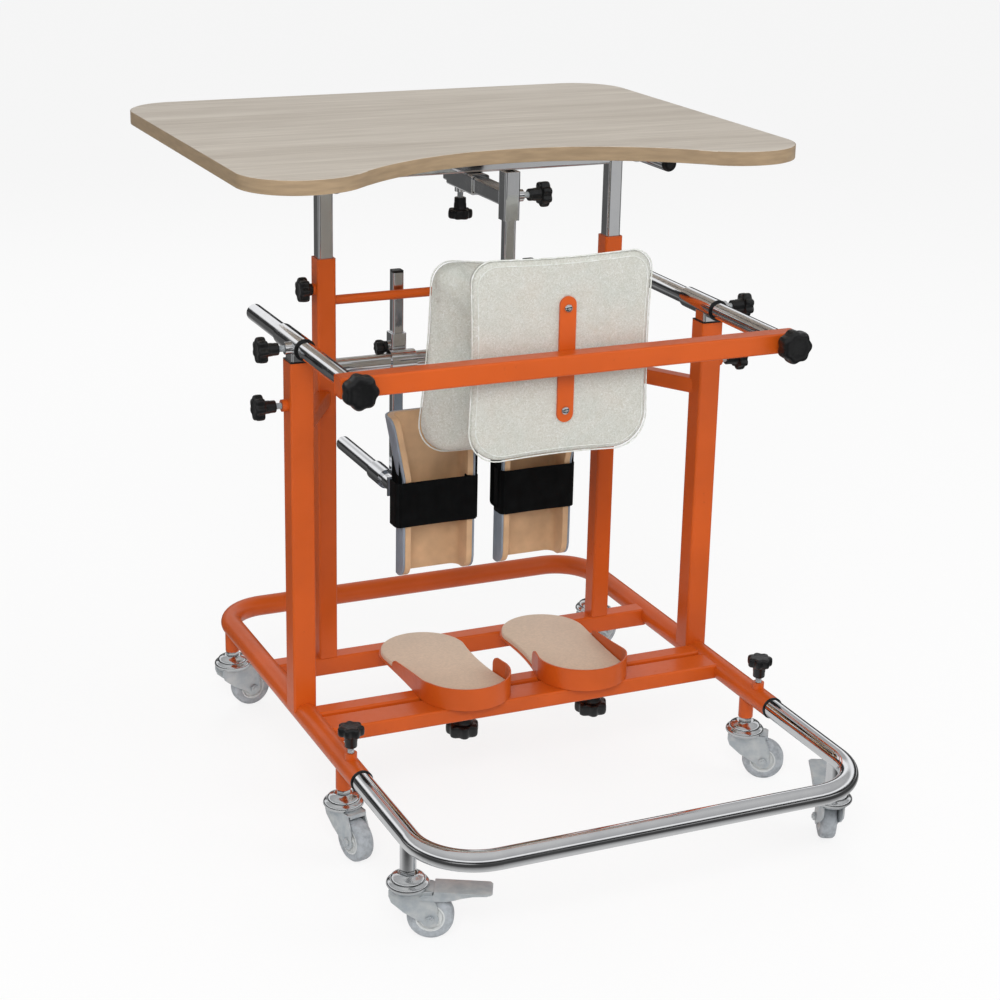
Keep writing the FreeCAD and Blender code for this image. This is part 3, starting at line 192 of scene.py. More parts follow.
def pick(kind, test):
    """Select the vertices, edges or faces of the edited mesh whose middle and direction pass."""
    mesh = bmesh.from_edit_mesh(bpy.context.object.data)
    bpy.ops.mesh.select_mode(type={"verts": "VERT", "edges": "EDGE", "faces": "FACE"}[kind])
    for parts in (mesh.faces, mesh.edges, mesh.verts):
        for part in parts:
            part.select = False
    for part in getattr(mesh, kind):
        if kind == "edges":
            first, second = (vertex.co for vertex in part.verts)
            place, way = (first + second) / 2, (second - first).normalized()
        else:
            place = part.co if kind == "verts" else part.calc_center_median()
            way = part.normal
        if test(place, way):
            part.select = True
    mesh.select_flush(True)
    bmesh.update_edit_mesh(bpy.context.object.data)


def everything():
    """Select the whole of the edited mesh."""
    bpy.ops.mesh.select_all(action="SELECT")


def merged():
    """Merge the doubled vertices of the edited mesh."""
    everything()
    bpy.ops.mesh.remove_doubles(threshold=MM / 100)


def faced_out():
    """Turn the faces of the edited mesh outwards and leave edit mode."""
    everything()
    bpy.ops.mesh.normals_make_consistent(inside=False)
    object_mode()


def raised(step):
    """Extrude the selection along Z."""
    bpy.ops.mesh.extrude_region_move(TRANSFORM_OT_translate={"value": (0, 0, step)})


def spread(x, y):
    """Scale the selection about the Z axis."""
    bpy.ops.transform.resize(value=(x, y, 1), center_override=(0, 0, 0))


def one_vertex(name, place):
    """A new mesh of one vertex, left in edit mode."""
    nothing_selected()
    bpy.ops.mesh.primitive_plane_add(size=MM)
    piece = bpy.context.object
    piece.name = name
    bpy.ops.object.mode_set(mode="EDIT")
    everything()
    bpy.ops.mesh.merge(type="CENTER")
    bpy.ops.mesh.select_mode(type="VERT")
    everything()
    bpy.ops.transform.translate(value=place)
    return piece


def chain(name, points):
    """A line of edges through points, left in edit mode with its last vertex selected."""
    piece = one_vertex(name, points[0])
    for last, point in zip(points, points[1:]):
        step = Vector(point) - Vector(last)
        bpy.ops.mesh.extrude_vertices_move(TRANSFORM_OT_translate={"value": step})
    return piece


def turned(name, profile, steps=40, closed=True):
    """A solid turned about Z from its profile of radius and height."""
    points = [(radius, 0, height) for radius, height in profile]
    if closed:
        points.append(points[0])
    piece = chain(name, points)
    merged()
    everything()
    bpy.ops.mesh.spin(steps=steps, angle=FULL_TURN, center=(0, 0, 0), axis=(0, 0, 1))
    merged()
    faced_out()
    return piece


def turned_to(name, shares, radius, height, steps):
    """A solid turned about Z, its profile given in shares of its radius and height."""
    profile = [(radius * across, height * up) for across, up in shares]
    return turned(name, profile, steps, closed=False)


def plate(name, outline, thickness):
    """A flat plate in the XY plane with that outline, grown up by its thickness."""
    piece = chain(name, [(x, y, 0) for x, y in outline])
    everything()
    bpy.ops.mesh.edge_face_add()
    raised(thickness)
    faced_out()
    return piece


def placed(piece):
    """Put a primitive's place, turn and size into its mesh."""
    only(piece)
    bpy.ops.object.transform_apply(location=True, rotation=True, scale=True)
    return piece


def block(name, size, place, turn=0):
    """A box of that size about a place, turned about Z."""
    nothing_selected()
    bpy.ops.mesh.primitive_cube_add(size=1, location=place)
    piece = bpy.context.object
    piece.name = name
    piece.scale = size
    piece.rotation_euler.z = turn
    return placed(piece)


def hexagon(name, radius, depth, height):
    """An upright hexagonal prism, its middle at that height on the Z axis."""
    nothing_selected()
    bpy.ops.mesh.primitive_cylinder_add(vertices=6, radius=radius, depth=depth,
                                        location=(0, 0, height))
    piece = bpy.context.object
    piece.name = name
    return placed(piece)


def in_mm(*points):
    """Points given in millimetres."""
    return [(x * MM, y * MM) for x, y in points]


def at_level(level):
    """A test for what lies at one height."""
    return lambda place, way: abs(place.z - level) < MM / 20


def arc(centre, radius, start, end, count):
    """Points along an arc, its angles in degrees."""
    points = []
    for index in range(count + 1):
        angle = math.radians(start + (end - start) * index / count)
        points.append((centre[0] + radius * math.cos(angle), centre[1] + radius * math.sin(angle)))
    return points


def modifier(piece, kind, **values):
    """Add a modifier, set it and apply it."""
    only(piece)
    added = piece.modifiers.new(kind.lower(), kind)
    for key, value in values.items():
        setattr(added, key, value)
    bpy.ops.object.modifier_apply(modifier=added.name)


def softened(piece, width, segments=3, angle=32):
    """Bevel a piece's sharp edges."""
    modifier(piece, "BEVEL", width=width, segments=segments, limit_method="ANGLE",
             angle_limit=math.radians(angle), use_clamp_overlap=True)
    return piece


def smoothed(piece, levels=1):
    modifier(piece, "SUBSURF", levels=levels, render_levels=levels)


def moved_by(piece, matrix):
    """Put a piece where a matrix says, with its place in its mesh."""
    piece.data.transform(matrix)
    piece.data.update()
    return piece


def moved(piece, x, y, z):
    return moved_by(piece, Matrix.Translation((x, y, z)))


def twin(piece, name):
    """A copy of a piece with its own mesh."""
    only(piece)
    bpy.ops.object.duplicate(linked=False)
    copy = bpy.context.object
    copy.name = name
    return copy


def joined(name, pieces):
    """Several meshes as one piece."""
    nothing_selected()
    for piece in pieces:
        piece.select_set(True)
    bpy.context.view_layer.objects.active = pieces[0]
    bpy.ops.object.join()
    whole = bpy.context.object
    whole.name = name
    return whole


def removed(*models):
    for model in models:
        bpy.data.objects.remove(model)


def middle(node):
    """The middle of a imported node's box."""
    low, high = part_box(node)
    return (low + high) / 2


def aimed(place, axis):
    """The matrix that carries +Z at the origin to an axis at a place."""
    turn = Vector(axis).to_track_quat("Z", "Y").to_matrix().to_4x4()
    return Matrix.Translation(Vector(place)) @ turn


def settled(piece, look, name, body, stands_for=(), angle=35):
    """Finish a piece: its look, its smooth shading, the body it rides on and what it replaces."""
    placed(piece)
    bpy.ops.object.shade_smooth_by_angle(angle=math.radians(angle))
    piece.data.materials.clear()
    piece.data.materials.append(finish(look))
    piece.name = name
    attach(piece, body)
    if stands_for:
        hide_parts(*stands_for)


def node_copy(node, name):
    """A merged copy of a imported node's mesh, free of the frame."""
    source = frame["nodes"][node]
    piece = bpy.data.objects.new(name, source.data.copy())
    bpy.context.scene.collection.objects.link(piece)
    edit(piece)
    merged()
    bpy.ops.mesh.dissolve_limited(angle_limit=math.radians(1))
    faced_out()
    return piece


class Wire:
    """A number that a node gives; arithmetic on it adds Math nodes."""

    def __init__(self, nodes, socket):
        self.nodes = nodes
        self.socket = socket

    def math(self, operation, first, second=0.0):
        node = self.nodes.node("ShaderNodeMath", {"operation": operation}, {0: first, 1: second})
        return Wire(self.nodes, node.outputs[0])

    def __add__(self, other):
        return self.math("ADD", self, other)

    def __radd__(self, other):
        return self.math("ADD", other, self)

    def __sub__(self, other):
        return self.math("SUBTRACT", self, other)

    def __rsub__(self, other):
        return self.math("SUBTRACT", other, self)

    def __mul__(self, other):
        return self.math("MULTIPLY", self, other)

    def __rmul__(self, other):
        return self.math("MULTIPLY", other, self)

    def __pow__(self, other):
        return self.math("POWER", self, other)

    def sine(self):
        return self.math("SINE", self)

    def size(self):
        return self.math("ABSOLUTE", self)

    def larger(self, other):
        return self.math("MAXIMUM", self, other)

    def bearing(self, across):
        """The angle whose tangent is this number over another."""
        return self.math("ARCTAN2", self, across)

    def between(self, low, high):
        """This number stretched so that low is 0 and high is 1, and held there."""
        node = self.nodes.node("ShaderNodeMapRange", {"clamp": True},
                               {"Value": self, "From Min": low, "From Max": high})
        return Wire(self.nodes, node.outputs[0])


class Nodes:
    """A node tree whose nodes all come from one method."""

    def __init__(self, tree):
        self.tree = tree

    def node(self, kind, options, inputs):
        """A node, its options set first, then the values or links of its sockets."""
        node = self.tree.nodes.new(kind)
        for key, value in options.items():
            if key == "stops":
                self.set_stops(node.color_ramp, value)
            else:
                setattr(node, key, value)
        for key, value in inputs.items():
            self.plug(node.inputs[key], value)
        return node

    def set_stops(self, ramp, stops):
        """Give a colour ramp soft steps between its stops."""
        ramp.interpolation = "EASE"
        for end, (position, colour) in zip(ramp.elements, (stops[0], stops[-1])):
            end.position = position
            end.color = colour
        for position, colour in stops[1:-1]:
            ramp.elements.new(position).color = colour

    def plug(self, socket, value):
        """Link a socket to what gives its value, or set the value."""
        if isinstance(value, Wire):
            self.tree.links.new(value.socket, socket)
        elif isinstance(value, bpy.types.NodeSocket):
            self.tree.links.new(value, socket)
        else:
            socket.default_value = value

    def axes(self, space="Object"):
        """The point's three coordinates."""
        coords = self.node("ShaderNodeTexCoord", {}, {})
        split = self.node("ShaderNodeSeparateXYZ", {}, {"Vector": coords.outputs[space]})
        return [Wire(self, output) for output in split.outputs]

    def rays(self, kind):
        """1 for rays of that kind and 0 for the others."""
        path = self.node("ShaderNodeLightPath", {}, {})
        return Wire(self, path.outputs["Is " + kind + " Ray"])

    def glow(self, kind, **inputs):
        """A shader that gives light by itself."""
        return self.node(kind, {}, inputs).outputs[0]

    def layered(self, mask, under, over):
        """One shader where the mask is 0 and another where it is 1."""
        return self.node("ShaderNodeMixShader", {}, {0: mask, 1: under, 2: over}).outputs[0]


# Where a colour Mix node keeps its two colours and its result.
COLOUR_A = 6
COLOUR_B = 7
COLOUR_RESULT = 2


class Paint(Nodes):
    """A material with a Principled shader, and the nodes that vary it."""

    def __init__(self, name, colour, roughness, **fixed):
        self.material = bpy.data.materials.new(name)
        self.material.use_nodes = True
        super().__init__(self.material.node_tree)
        self.shader = self.tree.nodes["Principled BSDF"]
        self.material.diffuse_color = (*colour, 1)
        self.give("Base Color", (*colour, 1))
        self.give("Roughness", roughness)
        for key, value in fixed.items():
            self.give(key.replace("_", " "), value)

    def give(self, socket, value):
        self.plug(self.shader.inputs[socket], value)

    def place(self, stretch=(1, 1, 1)):
        """The point on the object, with each axis stretched."""
        coords = self.node("ShaderNodeTexCoord", {}, {})
        mapping = self.node("ShaderNodeMapping", {}, {"Vector": coords.outputs["Object"],
                                                      "Scale": stretch})
        return mapping.outputs["Vector"]

    def noise(self, scale, detail=2.0, stretch=(1, 1, 1), rough=0.5, distortion=0.0):
        node = self.node("ShaderNodeTexNoise", {}, {
            "Vector": self.place(stretch), "Scale": scale, "Detail": detail,
            "Roughness": rough, "Distortion": distortion})
        return Wire(self, node.outputs["Fac"])

    def cells(self, scale):
        node = self.node("ShaderNodeTexVoronoi", {}, {"Vector": self.place(), "Scale": scale})
        return Wire(self, node.outputs["Distance"])

    def blend(self, mask, low, high):
        """One colour where the mask is 0 and another where it is 1."""
        first, second = (colour if isinstance(colour, bpy.types.NodeSocket) else (*colour, 1)
                         for colour in (low, high))
        node = self.node("ShaderNodeMix", {"data_type": "RGBA"},
                         {"Factor": mask, COLOUR_A: first, COLOUR_B: second})
        return node.outputs[COLOUR_RESULT]

    def mottled(self, mask, colour, low, high):
        """A colour that goes from one shade of itself to another."""
        return self.blend(mask, shade(colour, low), shade(colour, high))

    def relief(self, height, depth, strength):
        node = self.node("ShaderNodeBump", {}, {"Height": height, "Distance": depth,
                                                "Strength": strength})
        self.give("Normal", node.outputs["Normal"])


def shade(colour, factor):
    return tuple(min(1.0, channel * factor) for channel in colour)


def powder_coat():
    """Orange powder coat: fine peel, soft gloss, slightly uneven tone and rubbed spots."""
    colour = settings("finish").powder
    paint = Paint("orange_powder", colour, 0.34, Coat_Weight=0.12, Coat_Roughness=0.2,
                  Specular_IOR_Level=0.32)
    tone = paint.noise(9.0, 3.0)
    fine = paint.noise(130.0, 2.0)
    mixed = paint.mottled(tone.between(0.3, 0.72), colour, 0.88, 1.07)
    rubbed = (paint.noise(46.0, 5.0, rough=0.7) * fine).between(0.40, 0.47)
    paint.give("Base Color", paint.blend(rubbed * 0.35, mixed, shade(colour, 0.62)))
    paint.give("Roughness", 0.27 + fine * 0.16 + rubbed * 0.12)
    paint.relief(paint.noise(620.0, 1.0) + tone * 0.4, 0.00022, 0.35)
    return paint.material


def chrome():
    """Bright plating with faint smears and hairlines."""
    paint = Paint("chrome_plating", (0.80, 0.81, 0.82), 0.09, Metallic=1.0)
    smear = paint.noise(28.0, 4.0, rough=0.65)
    lines = paint.noise(900.0, 1.0, stretch=(1, 0.06, 1))
    paint.give("Base Color", paint.blend(smear, (0.66, 0.67, 0.69), (0.88, 0.885, 0.89)))
    paint.give("Roughness", 0.045 + smear.between(0.45, 0.8) * 0.16 + lines * 0.04)
    paint.relief(paint.noise(210.0, 1.0) + lines * 0.3, 0.00003, 0.4)
    return paint.material


def zinc():
    """Zinc plating on pressed steel, cloudy and a little blue."""
    paint = Paint("zinc_plating", (0.50, 0.54, 0.57), 0.36, Metallic=0.45)
    cloud = paint.noise(70.0, 4.0, rough=0.6)
    grain = paint.noise(1200.0, 2.0)
    paint.give("Base Color", paint.blend(cloud.between(0.35, 0.7), (0.42, 0.46, 0.49),
                                         (0.58, 0.60, 0.60)))
    paint.give("Roughness", 0.26 + cloud * 0.18 + grain * 0.08)
    paint.relief(grain + cloud, 0.00006, 0.4)
    return paint.material


def race_plating():
    """Bright nickel on the casters' rolled races."""
    paint = Paint("race_plating", (0.70, 0.72, 0.73), 0.16, Metallic=1.0)
    cloud = paint.noise(85.0, 4.0, rough=0.6)
    paint.give("Base Color", paint.blend(cloud, (0.56, 0.58, 0.60), (0.80, 0.81, 0.81)))
    paint.give("Roughness", 0.12 + cloud.between(0.4, 0.75) * 0.16)
    paint.relief(cloud, 0.00006, 0.4)
    return paint.material


def black_plastic():
    """Moulded black plastic with a fine spark texture and scuffed high spots."""
    roughness = 0.30
    paint = Paint("black_moulding", (0.007, 0.0073, 0.0078), roughness)
    grain = paint.noise(1500.0, 2.0)
    scuff = paint.noise(95.0, 5.0, rough=0.7).between(0.58, 0.75)
    paint.give("Base Color", paint.blend(scuff, (0.0055, 0.0058, 0.0062), (0.020, 0.021, 0.022)))
    paint.give("Roughness", roughness - 0.06 + grain * 0.14 + scuff * 0.15)
    paint.relief(grain, 0.00016, 0.6)
    return paint.material


def tyre_rubber():
    """Grey caster tyre, matt and a little dirty on its tread."""
    colour = settings("finish").tyre
    paint = Paint("grey_tyre", colour, 0.55)
    dirt = paint.noise(120.0, 5.0, rough=0.65)
    paint.give("Base Color", paint.mottled(dirt.between(0.42, 0.72), colour, 1.12, 0.66))
    paint.give("Roughness", 0.46 + dirt * 0.24)
    paint.relief(dirt + paint.noise(900.0, 1.0) * 0.4, 0.0002, 0.5)
    return paint.material


def hub_plastic():
    """Pale nylon of the wheel hubs."""
    paint = Paint("hub_nylon", (0.60, 0.62, 0.62), 0.36)
    tone = paint.noise(160.0, 3.0)
    paint.give("Base Color", paint.blend(tone, (0.50, 0.525, 0.53), (0.70, 0.71, 0.70)))
    paint.give("Roughness", 0.28 + tone * 0.2)
    paint.relief(tone, 0.0001, 0.4)
    return paint.material


def tray_laminate():
    """Greige wood print whose grain runs across the tray."""
    finish = settings("finish")
    paint = Paint("tray_laminate", finish.laminate, 0.34, Coat_Weight=0.08, Coat_Roughness=0.3)
    broad = paint.noise(1.0, 4.0, stretch=(2.2, 34, 34), rough=0.6, distortion=0.6)
    streak = paint.noise(1.0, 5.0, stretch=(7, 210, 210), rough=0.7, distortion=0.25)
    hair = paint.noise(1.0, 2.0, stretch=(22, 1300, 1300))
    mask = broad * 0.5 + streak * 0.42 + hair * 0.18
    ground = paint.blend(mask.between(0.40, 0.66), finish.laminate_dark, finish.laminate)
    pale = streak.between(0.56, 0.74) * 0.55
    colour = paint.blend(pale, ground, shade(finish.laminate, 1.22))
    vein = (1 - streak.between(0.26, 0.40)) * 0.5
    paint.give("Base Color", paint.blend(vein, colour, shade(finish.laminate_dark, 0.72)))
    paint.give("Roughness", 0.30 + hair * 0.16)
    paint.relief(streak + hair * 0.7, 0.00012, 0.45)
    return paint.material


def edge_banding():
    """The plain warm band glued round the board."""
    colour = settings("finish").edge_band
    paint = Paint("tray_edge_band", colour, 0.4)
    tone = paint.noise(1.0, 3.0, stretch=(30, 30, 260))
    paint.give("Base Color", paint.mottled(tone.between(0.3, 0.7), colour, 0.86, 1.12))
    paint.give("Roughness", 0.34 + tone * 0.12)
    paint.relief(tone, 0.00008, 0.4)
    return paint.material


def pearl_vinyl():
    """Crushed pearl vinyl on a cream ground, under a clear gloss: its crinkled bright flakes are
    partly the vinyl's pearl flakes and partly painted sparkle highlights.
    """
    finish = settings("finish")
    paint = Paint("pearl_vinyl", finish.vinyl, 0.33, Coat_Weight=0.55, Coat_Roughness=0.12)
    broad = paint.noise(17.0, 3.0, distortion=0.8)
    cluster = paint.noise(48.0, 3.0, rough=0.6).between(0.36, 0.64)
    crush = (paint.noise(150.0, 5.0, rough=0.68, distortion=1.6) - 0.5).size()
    ridge_and_glint = 1 - crush.between(0.0, 0.09)
    fleck_and_glint = paint.noise(430.0, 4.0, rough=0.75, distortion=0.6).between(0.52, 0.64)
    # Crinkle ridges and flakes painted bright: partly pearl flakes, partly painted sparkle
    # highlights.
    bright = ridge_and_glint * 0.32 + fleck_and_glint * (0.22 + cluster * 0.62)
    warm = (0.535, 0.510, 0.445)
    ground = paint.blend(broad.between(0.3, 0.7), warm, finish.vinyl)
    paint.give("Base Color", paint.blend(bright * 0.85, ground, finish.vinyl_pearl_and_glint))
    paint.give("Roughness", 0.40 - bright * 0.18)
    paint.give("Metallic", bright * 0.12)
    paint.relief(ridge_and_glint + fleck_and_glint * 0.7 + broad * 1.5, 0.0007, 0.5)
    return paint.material


def piping_vinyl():
    """The clear bead welded round a pad, painted brighter than the cover: partly its own tone,
    partly painted highlight along the pad's edge.
    """
    finish = settings("finish")
    # The bead's colour is painted brighter than the cover: partly painted highlight along the pad's
    # edge.
    bright = shade(finish.vinyl_pearl_and_glint, 0.80)
    paint = Paint("piping_vinyl", bright, 0.26, Coat_Weight=0.4, Coat_Roughness=0.1)
    tone = paint.noise(180.0, 3.0)
    mixed = paint.blend(tone.between(0.3, 0.7), shade(finish.vinyl, 1.15), bright)
    paint.give("Base Color", mixed)
    paint.give("Roughness", 0.22 + tone * 0.16)
    paint.relief(tone, 0.0002, 0.4)
    return paint.material


def shell_plastic():
    """Grey-blue vacuum-formed plastic."""
    colour = settings("finish").shell
    paint = Paint("shell_plastic", colour, 0.3)
    tone = paint.noise(24.0, 3.0)
    grain = paint.noise(700.0, 2.0)
    paint.give("Base Color", paint.mottled(tone.between(0.3, 0.7), colour, 0.85, 1.18))
    paint.give("Roughness", 0.25 + grain * 0.16)
    paint.relief(tone * 2 + grain * 0.4, 0.0004, 0.4)
    return paint.material


def lining_leather():
    """Tan foam-backed leather, smooth with a soft grain."""
    colour = settings("finish").lining
    paint = Paint("lining_leather", colour, 0.5, Sheen_Weight=0.15)
    pore = paint.cells(900.0)
    tone = paint.noise(36.0, 4.0)
    paint.give("Base Color", paint.mottled(tone.between(0.3, 0.72), colour, 0.88, 1.14))
    paint.give("Roughness", 0.42 + tone * 0.18)
    paint.relief(pore + tone * 0.6, 0.00022, 0.45)
    return paint.material


def insole_leather():
    """Pinkish beige insole leather, matt and finely pored."""
    colour = settings("finish").insole
    paint = Paint("insole_leather", colour, 0.66, Sheen_Weight=0.2)
    pore = paint.cells(1300.0)
    tone = paint.noise(260.0, 4.0, rough=0.65)
    cloud = paint.noise(17.0, 3.0)
    mixed = paint.mottled(tone.between(0.3, 0.7), colour, 0.90, 1.10)
    paint.give("Base Color", paint.blend(cloud.between(0.4, 0.75) * 0.4, mixed,
                                         shade(colour, 0.84)))
    paint.give("Roughness", 0.58 + tone * 0.16)
    paint.relief(pore * 0.6 + tone, 0.0002, 0.5)
    return paint.material


def elastic_webbing():
    """Black elastic band: fine upright ribs, with weft threads across them."""
    paint = Paint("elastic_webbing", (0.003, 0.004, 0.0045), 0.78, Specular_IOR_Level=0.15)
    x, y, z = paint.axes()
    rib_step = 0.0017
    weft_step = 0.0006
    rib = ((x + y) * (FULL_TURN / rib_step)).sine() * 0.5 + 0.5
    weft = ((z + (x + y) * 0.12) * (FULL_TURN / weft_step)).sine() * 0.5 + 0.5
    fuzz = paint.noise(1500.0, 3.0)
    lint = paint.noise(60.0, 4.0)
    paint.give("Base Color", paint.blend((rib * 0.6 + fuzz * 0.4) * lint.between(0.2, 0.9),
                                         (0.0012, 0.0018, 0.0021), (0.0085, 0.0105, 0.0115)))
    paint.give("Roughness", 0.70 + fuzz * 0.2)
    paint.relief(rib + weft * 0.35 + fuzz * 0.3, 0.0005, 0.7)
    return paint.material


def finishes():
    """Every finish, made once and kept by name."""
    makers = {"orange": powder_coat, "chrome": chrome, "zinc": zinc, "race": race_plating,
              "black": black_plastic, "tyre": tyre_rubber, "hub": hub_plastic,
              "laminate": tray_laminate, "band": edge_banding, "vinyl": pearl_vinyl,
              "piping": piping_vinyl, "shell": shell_plastic, "lining": lining_leather,
              "insole": insole_leather, "webbing": elastic_webbing}
    return {name: make() for name, make in makers.items()}


made = {}


def finish(name):
    if not made:
        made.update(finishes())
    return made[name]


ORANGE_NODES = ("base_tube", "cross_rails", "frame_posts", "frame_braces", "rear_bar",
                "footplate_left", "footplate_right")
CHROME_NODES = ("extension_tube", "lift_frame", "tray_runners", "chest_arm", "chest_tube",
                "arm_stems", "side_arms", "knee_bar", "knee_clamp_left", "knee_clamp_right",
                "knee_tube_left", "knee_tube_right", "knee_rod_left", "knee_rod_right")

# Up a pad from its board: the share of its depth, and how far its outline stands in there.
PAD_SECTION = ((0.0, 7.0 * MM), (0.025, 3.8 * MM), (0.07, 1.4 * MM), (0.16, 0.0), (0.42, 1.2 * MM),
               (0.60, 4.0 * MM), (0.76, 9.0 * MM), (0.88, 15.0 * MM), (0.96, 21.0 * MM),
               (1.0, 29.0 * MM))
PAD_SIDE_SHARES = (0.1, 0.25, 0.4, 0.5, 0.6, 0.75, 0.9)


def pad_outline(inset):
    """A pad's outline that far inside its widest one, its sides drawn in between the corners."""
    pads = settings("pads")
    half_x = pads.width / 2 - inset
    half_z = pads.height / 2 - inset
    top = pads.top_corner - inset / 3
    low = pads.low_corner - inset / 3
    corners = [arc((half_x - top, half_z - top), top, 0, 90, 8),
               arc((top - half_x, half_z - top), top, 90, 180, 8),
               arc((low - half_x, low - half_z), low, 180, 270, 8),
               arc((half_x - low, low - half_z), low, 270, 360, 8)]
    inwards = (Vector((0, -1)), Vector((1, 0)), Vector((0, 1)), Vector((-1, 0)))
    outline = []
    for index, (corner, way) in enumerate(zip(corners, inwards)):
        outline += corner
        start = Vector(corner[-1])
        end = Vector(corners[(index + 1) % len(corners)][0])
        for share in PAD_SIDE_SHARES:
            point = start.lerp(end, share) + way * pads.draw * math.sin(math.pi * share)
            outline.append(tuple(point))
    return outline


def pad_place(node, front):
    """Where a pad's board stands: its outline in XZ, growing along Y, turned for the chest pad."""
    low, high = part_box(node)
    centre = (low + high) / 2
    place = Matrix.Translation((centre.x, low.y if front > 0 else high.y, centre.z))
    if front > 0:
        place = place @ Matrix.Rotation(math.pi, 4, "Z")
    else:
        place = place @ Matrix.Rotation(settings("pads").turn, 4, "Y")
    return place @ Matrix.Rotation(math.pi / 2, 4, "X")


def pad_cover(node, front, name):
    """The inflated cover of a pad: stacked outlines, remeshed and blown up."""
    pads = settings("pads")

    def span(length, inset):
        return length - 2 * (pads.shrink + inset)

    outline = pad_outline(pads.shrink + PAD_SECTION[0][1])
    pad = chain(name, [(x, y, 0) for x, y in outline])
    everything()
    bpy.ops.mesh.edge_face_add()
    for (last_share, last), (share, inset) in zip(PAD_SECTION, PAD_SECTION[1:]):
        raised((share - last_share) * pads.depth)
        spread(span(pads.width, inset) / span(pads.width, last),
               span(pads.height, inset) / span(pads.height, last))
    faced_out()
    moved_by(pad, pad_place(node, front))
    pad.data.remesh_voxel_size = pads.voxel
    bpy.ops.object.voxel_remesh()
    low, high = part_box(node)
    blow_up(pad, (low + high) / 2, high - low, front)
    smoothed(pad)
    return pad


def blow_up(pad, centre, size, front):
    """Cloth with pressure, its backing held still, and every point kept near where it was."""
    pads = settings("pads")
    scene = bpy.context.scene
    held_from = 0.40
    stiffness = 12
    last_frame = 20
    rest = [vertex.co.copy() for vertex in pad.data.vertices]
    held = pad.vertex_groups.new(name="backing")
    backing = [vertex.index for vertex in pad.data.vertices
               if (centre.y - vertex.co.y) * front > size.y * held_from]
    held.add(backing, 1.0, "REPLACE")
    cloth = pad.modifiers.new("cover", "CLOTH")
    cloth.settings.quality = 5
    cloth.settings.use_pressure = True
    cloth.settings.uniform_pressure_force = pads.pressure
    cloth.settings.vertex_group_mass = "backing"
    cloth.settings.tension_stiffness = stiffness
    cloth.settings.compression_stiffness = stiffness
    cloth.settings.bending_stiffness = 0.4
    cloth.settings.effector_weights.gravity = 0
    cloth.point_cache.frame_start = 1
    cloth.point_cache.frame_end = last_frame
    for number in range(1, last_frame + 1):
        scene.frame_set(number)
    only(pad)
    bpy.ops.object.modifier_apply(modifier="cover")
    scene.frame_set(1)
    for vertex, start in zip(pad.data.vertices, rest):
        shift = vertex.co - start
        if shift.length > pads.swell:
            vertex.co = start + shift * (pads.swell / shift.length)
    pad.vertex_groups.clear()


def pad_bead(node, front, level, inset, radius, name):
    """A bead along a pad's outline at one depth."""
    outline = pad_outline(inset)
    chain(name, [(x, y, level) for x, y in (*outline, outline[0])])
    merged()
    object_mode()
    bpy.ops.object.convert(target="CURVE")
    bead = bpy.context.object
    bead.data.bevel_depth = radius
    bead.data.bevel_resolution = 3
    bpy.ops.object.convert(target="MESH")
    return moved_by(bpy.context.object, pad_place(node, front))


PLATE_METAL = 3 * MM
SCREW_SHARES = ((0, 0), (1, 0), (1, 0.25), (0.86, 0.62), (0.55, 0.90), (0.2, 1), (0, 1))


def round_screw(radius, height):
    """A domed screw head with a cross recess, its seat at the origin."""
    head = turned_to("screw_head", SCREW_SHARES, radius, height, 28)
    for turn in (0, math.pi / 2):
        slot = block("slot", (radius * 0.9, radius * 0.2, height * 0.7), (0, 0, height), turn)
        modifier(head, "BOOLEAN", object=slot, operation="DIFFERENCE", solver="EXACT")
        removed(slot)
    return head


def screw_set(radius, height, places, axis, look, name, body):
    """Screw heads of one size at several places, as one piece."""
    head = round_screw(radius, height)
    heads = [moved_by(twin(head, "copy"), aimed(place, axis)) for place in places]
    settled(joined(name, heads), look, name, body)
    removed(head)


class STANDING_OT_pads(Operator):
    """Make the chest and back pads with their welded beads and screws"""
    bl_idname = "standing.pads"
    bl_label = "Pads"

    def execute(self, context):
        pads = settings("pads")
        rows = (("_bead", pads.depth * 0.09, 0.6 * MM, pads.piping),
                ("_back_bead", 0.3 * MM, 7.6 * MM, pads.piping * 0.8))
        for node, body, front in (("rear_pad", "side_arms", 1), ("chest_pad", "chest_support", -1)):
            cover = pad_cover(node, front, node + "_cover")
            settled(cover, "vinyl", node + "_cover", body, (node,), 80)
            for tag, level, inset, radius in rows:
                bead = pad_bead(node, front, level, inset, radius, node + tag)
                settled(bead, "piping", node + tag, body, angle=60)
        self.screws()
        return {"FINISHED"}

    def screws(self):
        """Two domed screws on the strip and four on the chest plate."""
        radius = 5.2 * MM
        height = 2.9 * MM
        strip_x = -6 * MM
        strip_reach = 62 * MM
        strip_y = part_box("rear_pad")[0].y - PLATE_METAL
        strip_z = middle("rear_bar").z
        places = [(strip_x, strip_y, strip_z + way * strip_reach) for way in (-1, 1)]
        screw_set(radius, height, places, (0, -1, 0), "chrome", "back_pad_screws", "side_arms")
        plate_reach = 48 * MM
        plate_rise = 15 * MM
        plate_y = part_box("chest_pad")[1].y + PLATE_METAL
        plate_z = middle("chest_pad").z
        places = [(side * plate_reach, plate_y, plate_z + way * plate_rise)
                  for side in (-1, 1) for way in (-1, 1)]
        screw_set(radius, height, places, (0, 1, 0), "chrome", "chest_pad_screws",
                  "chest_support")


def shell_line(half, depth, radius, side, centre, front_y):
    """The plan of a gutter from its inner front edge round to its outer one."""
    arc_in = arc((-half + radius, depth - radius), radius, 180, 90, 6)
    arc_out = arc((half - radius, depth - radius), radius, 90, 0, 6)
    points = [(-half, 0.0), *arc_in, *arc_out, (half, 0.0)]
    return [(centre + side * x, front_y + y) for x, y in points]


CORNER_SHARES = (0, 0.06, 0.18, 0.36, 0.6, 1.0)


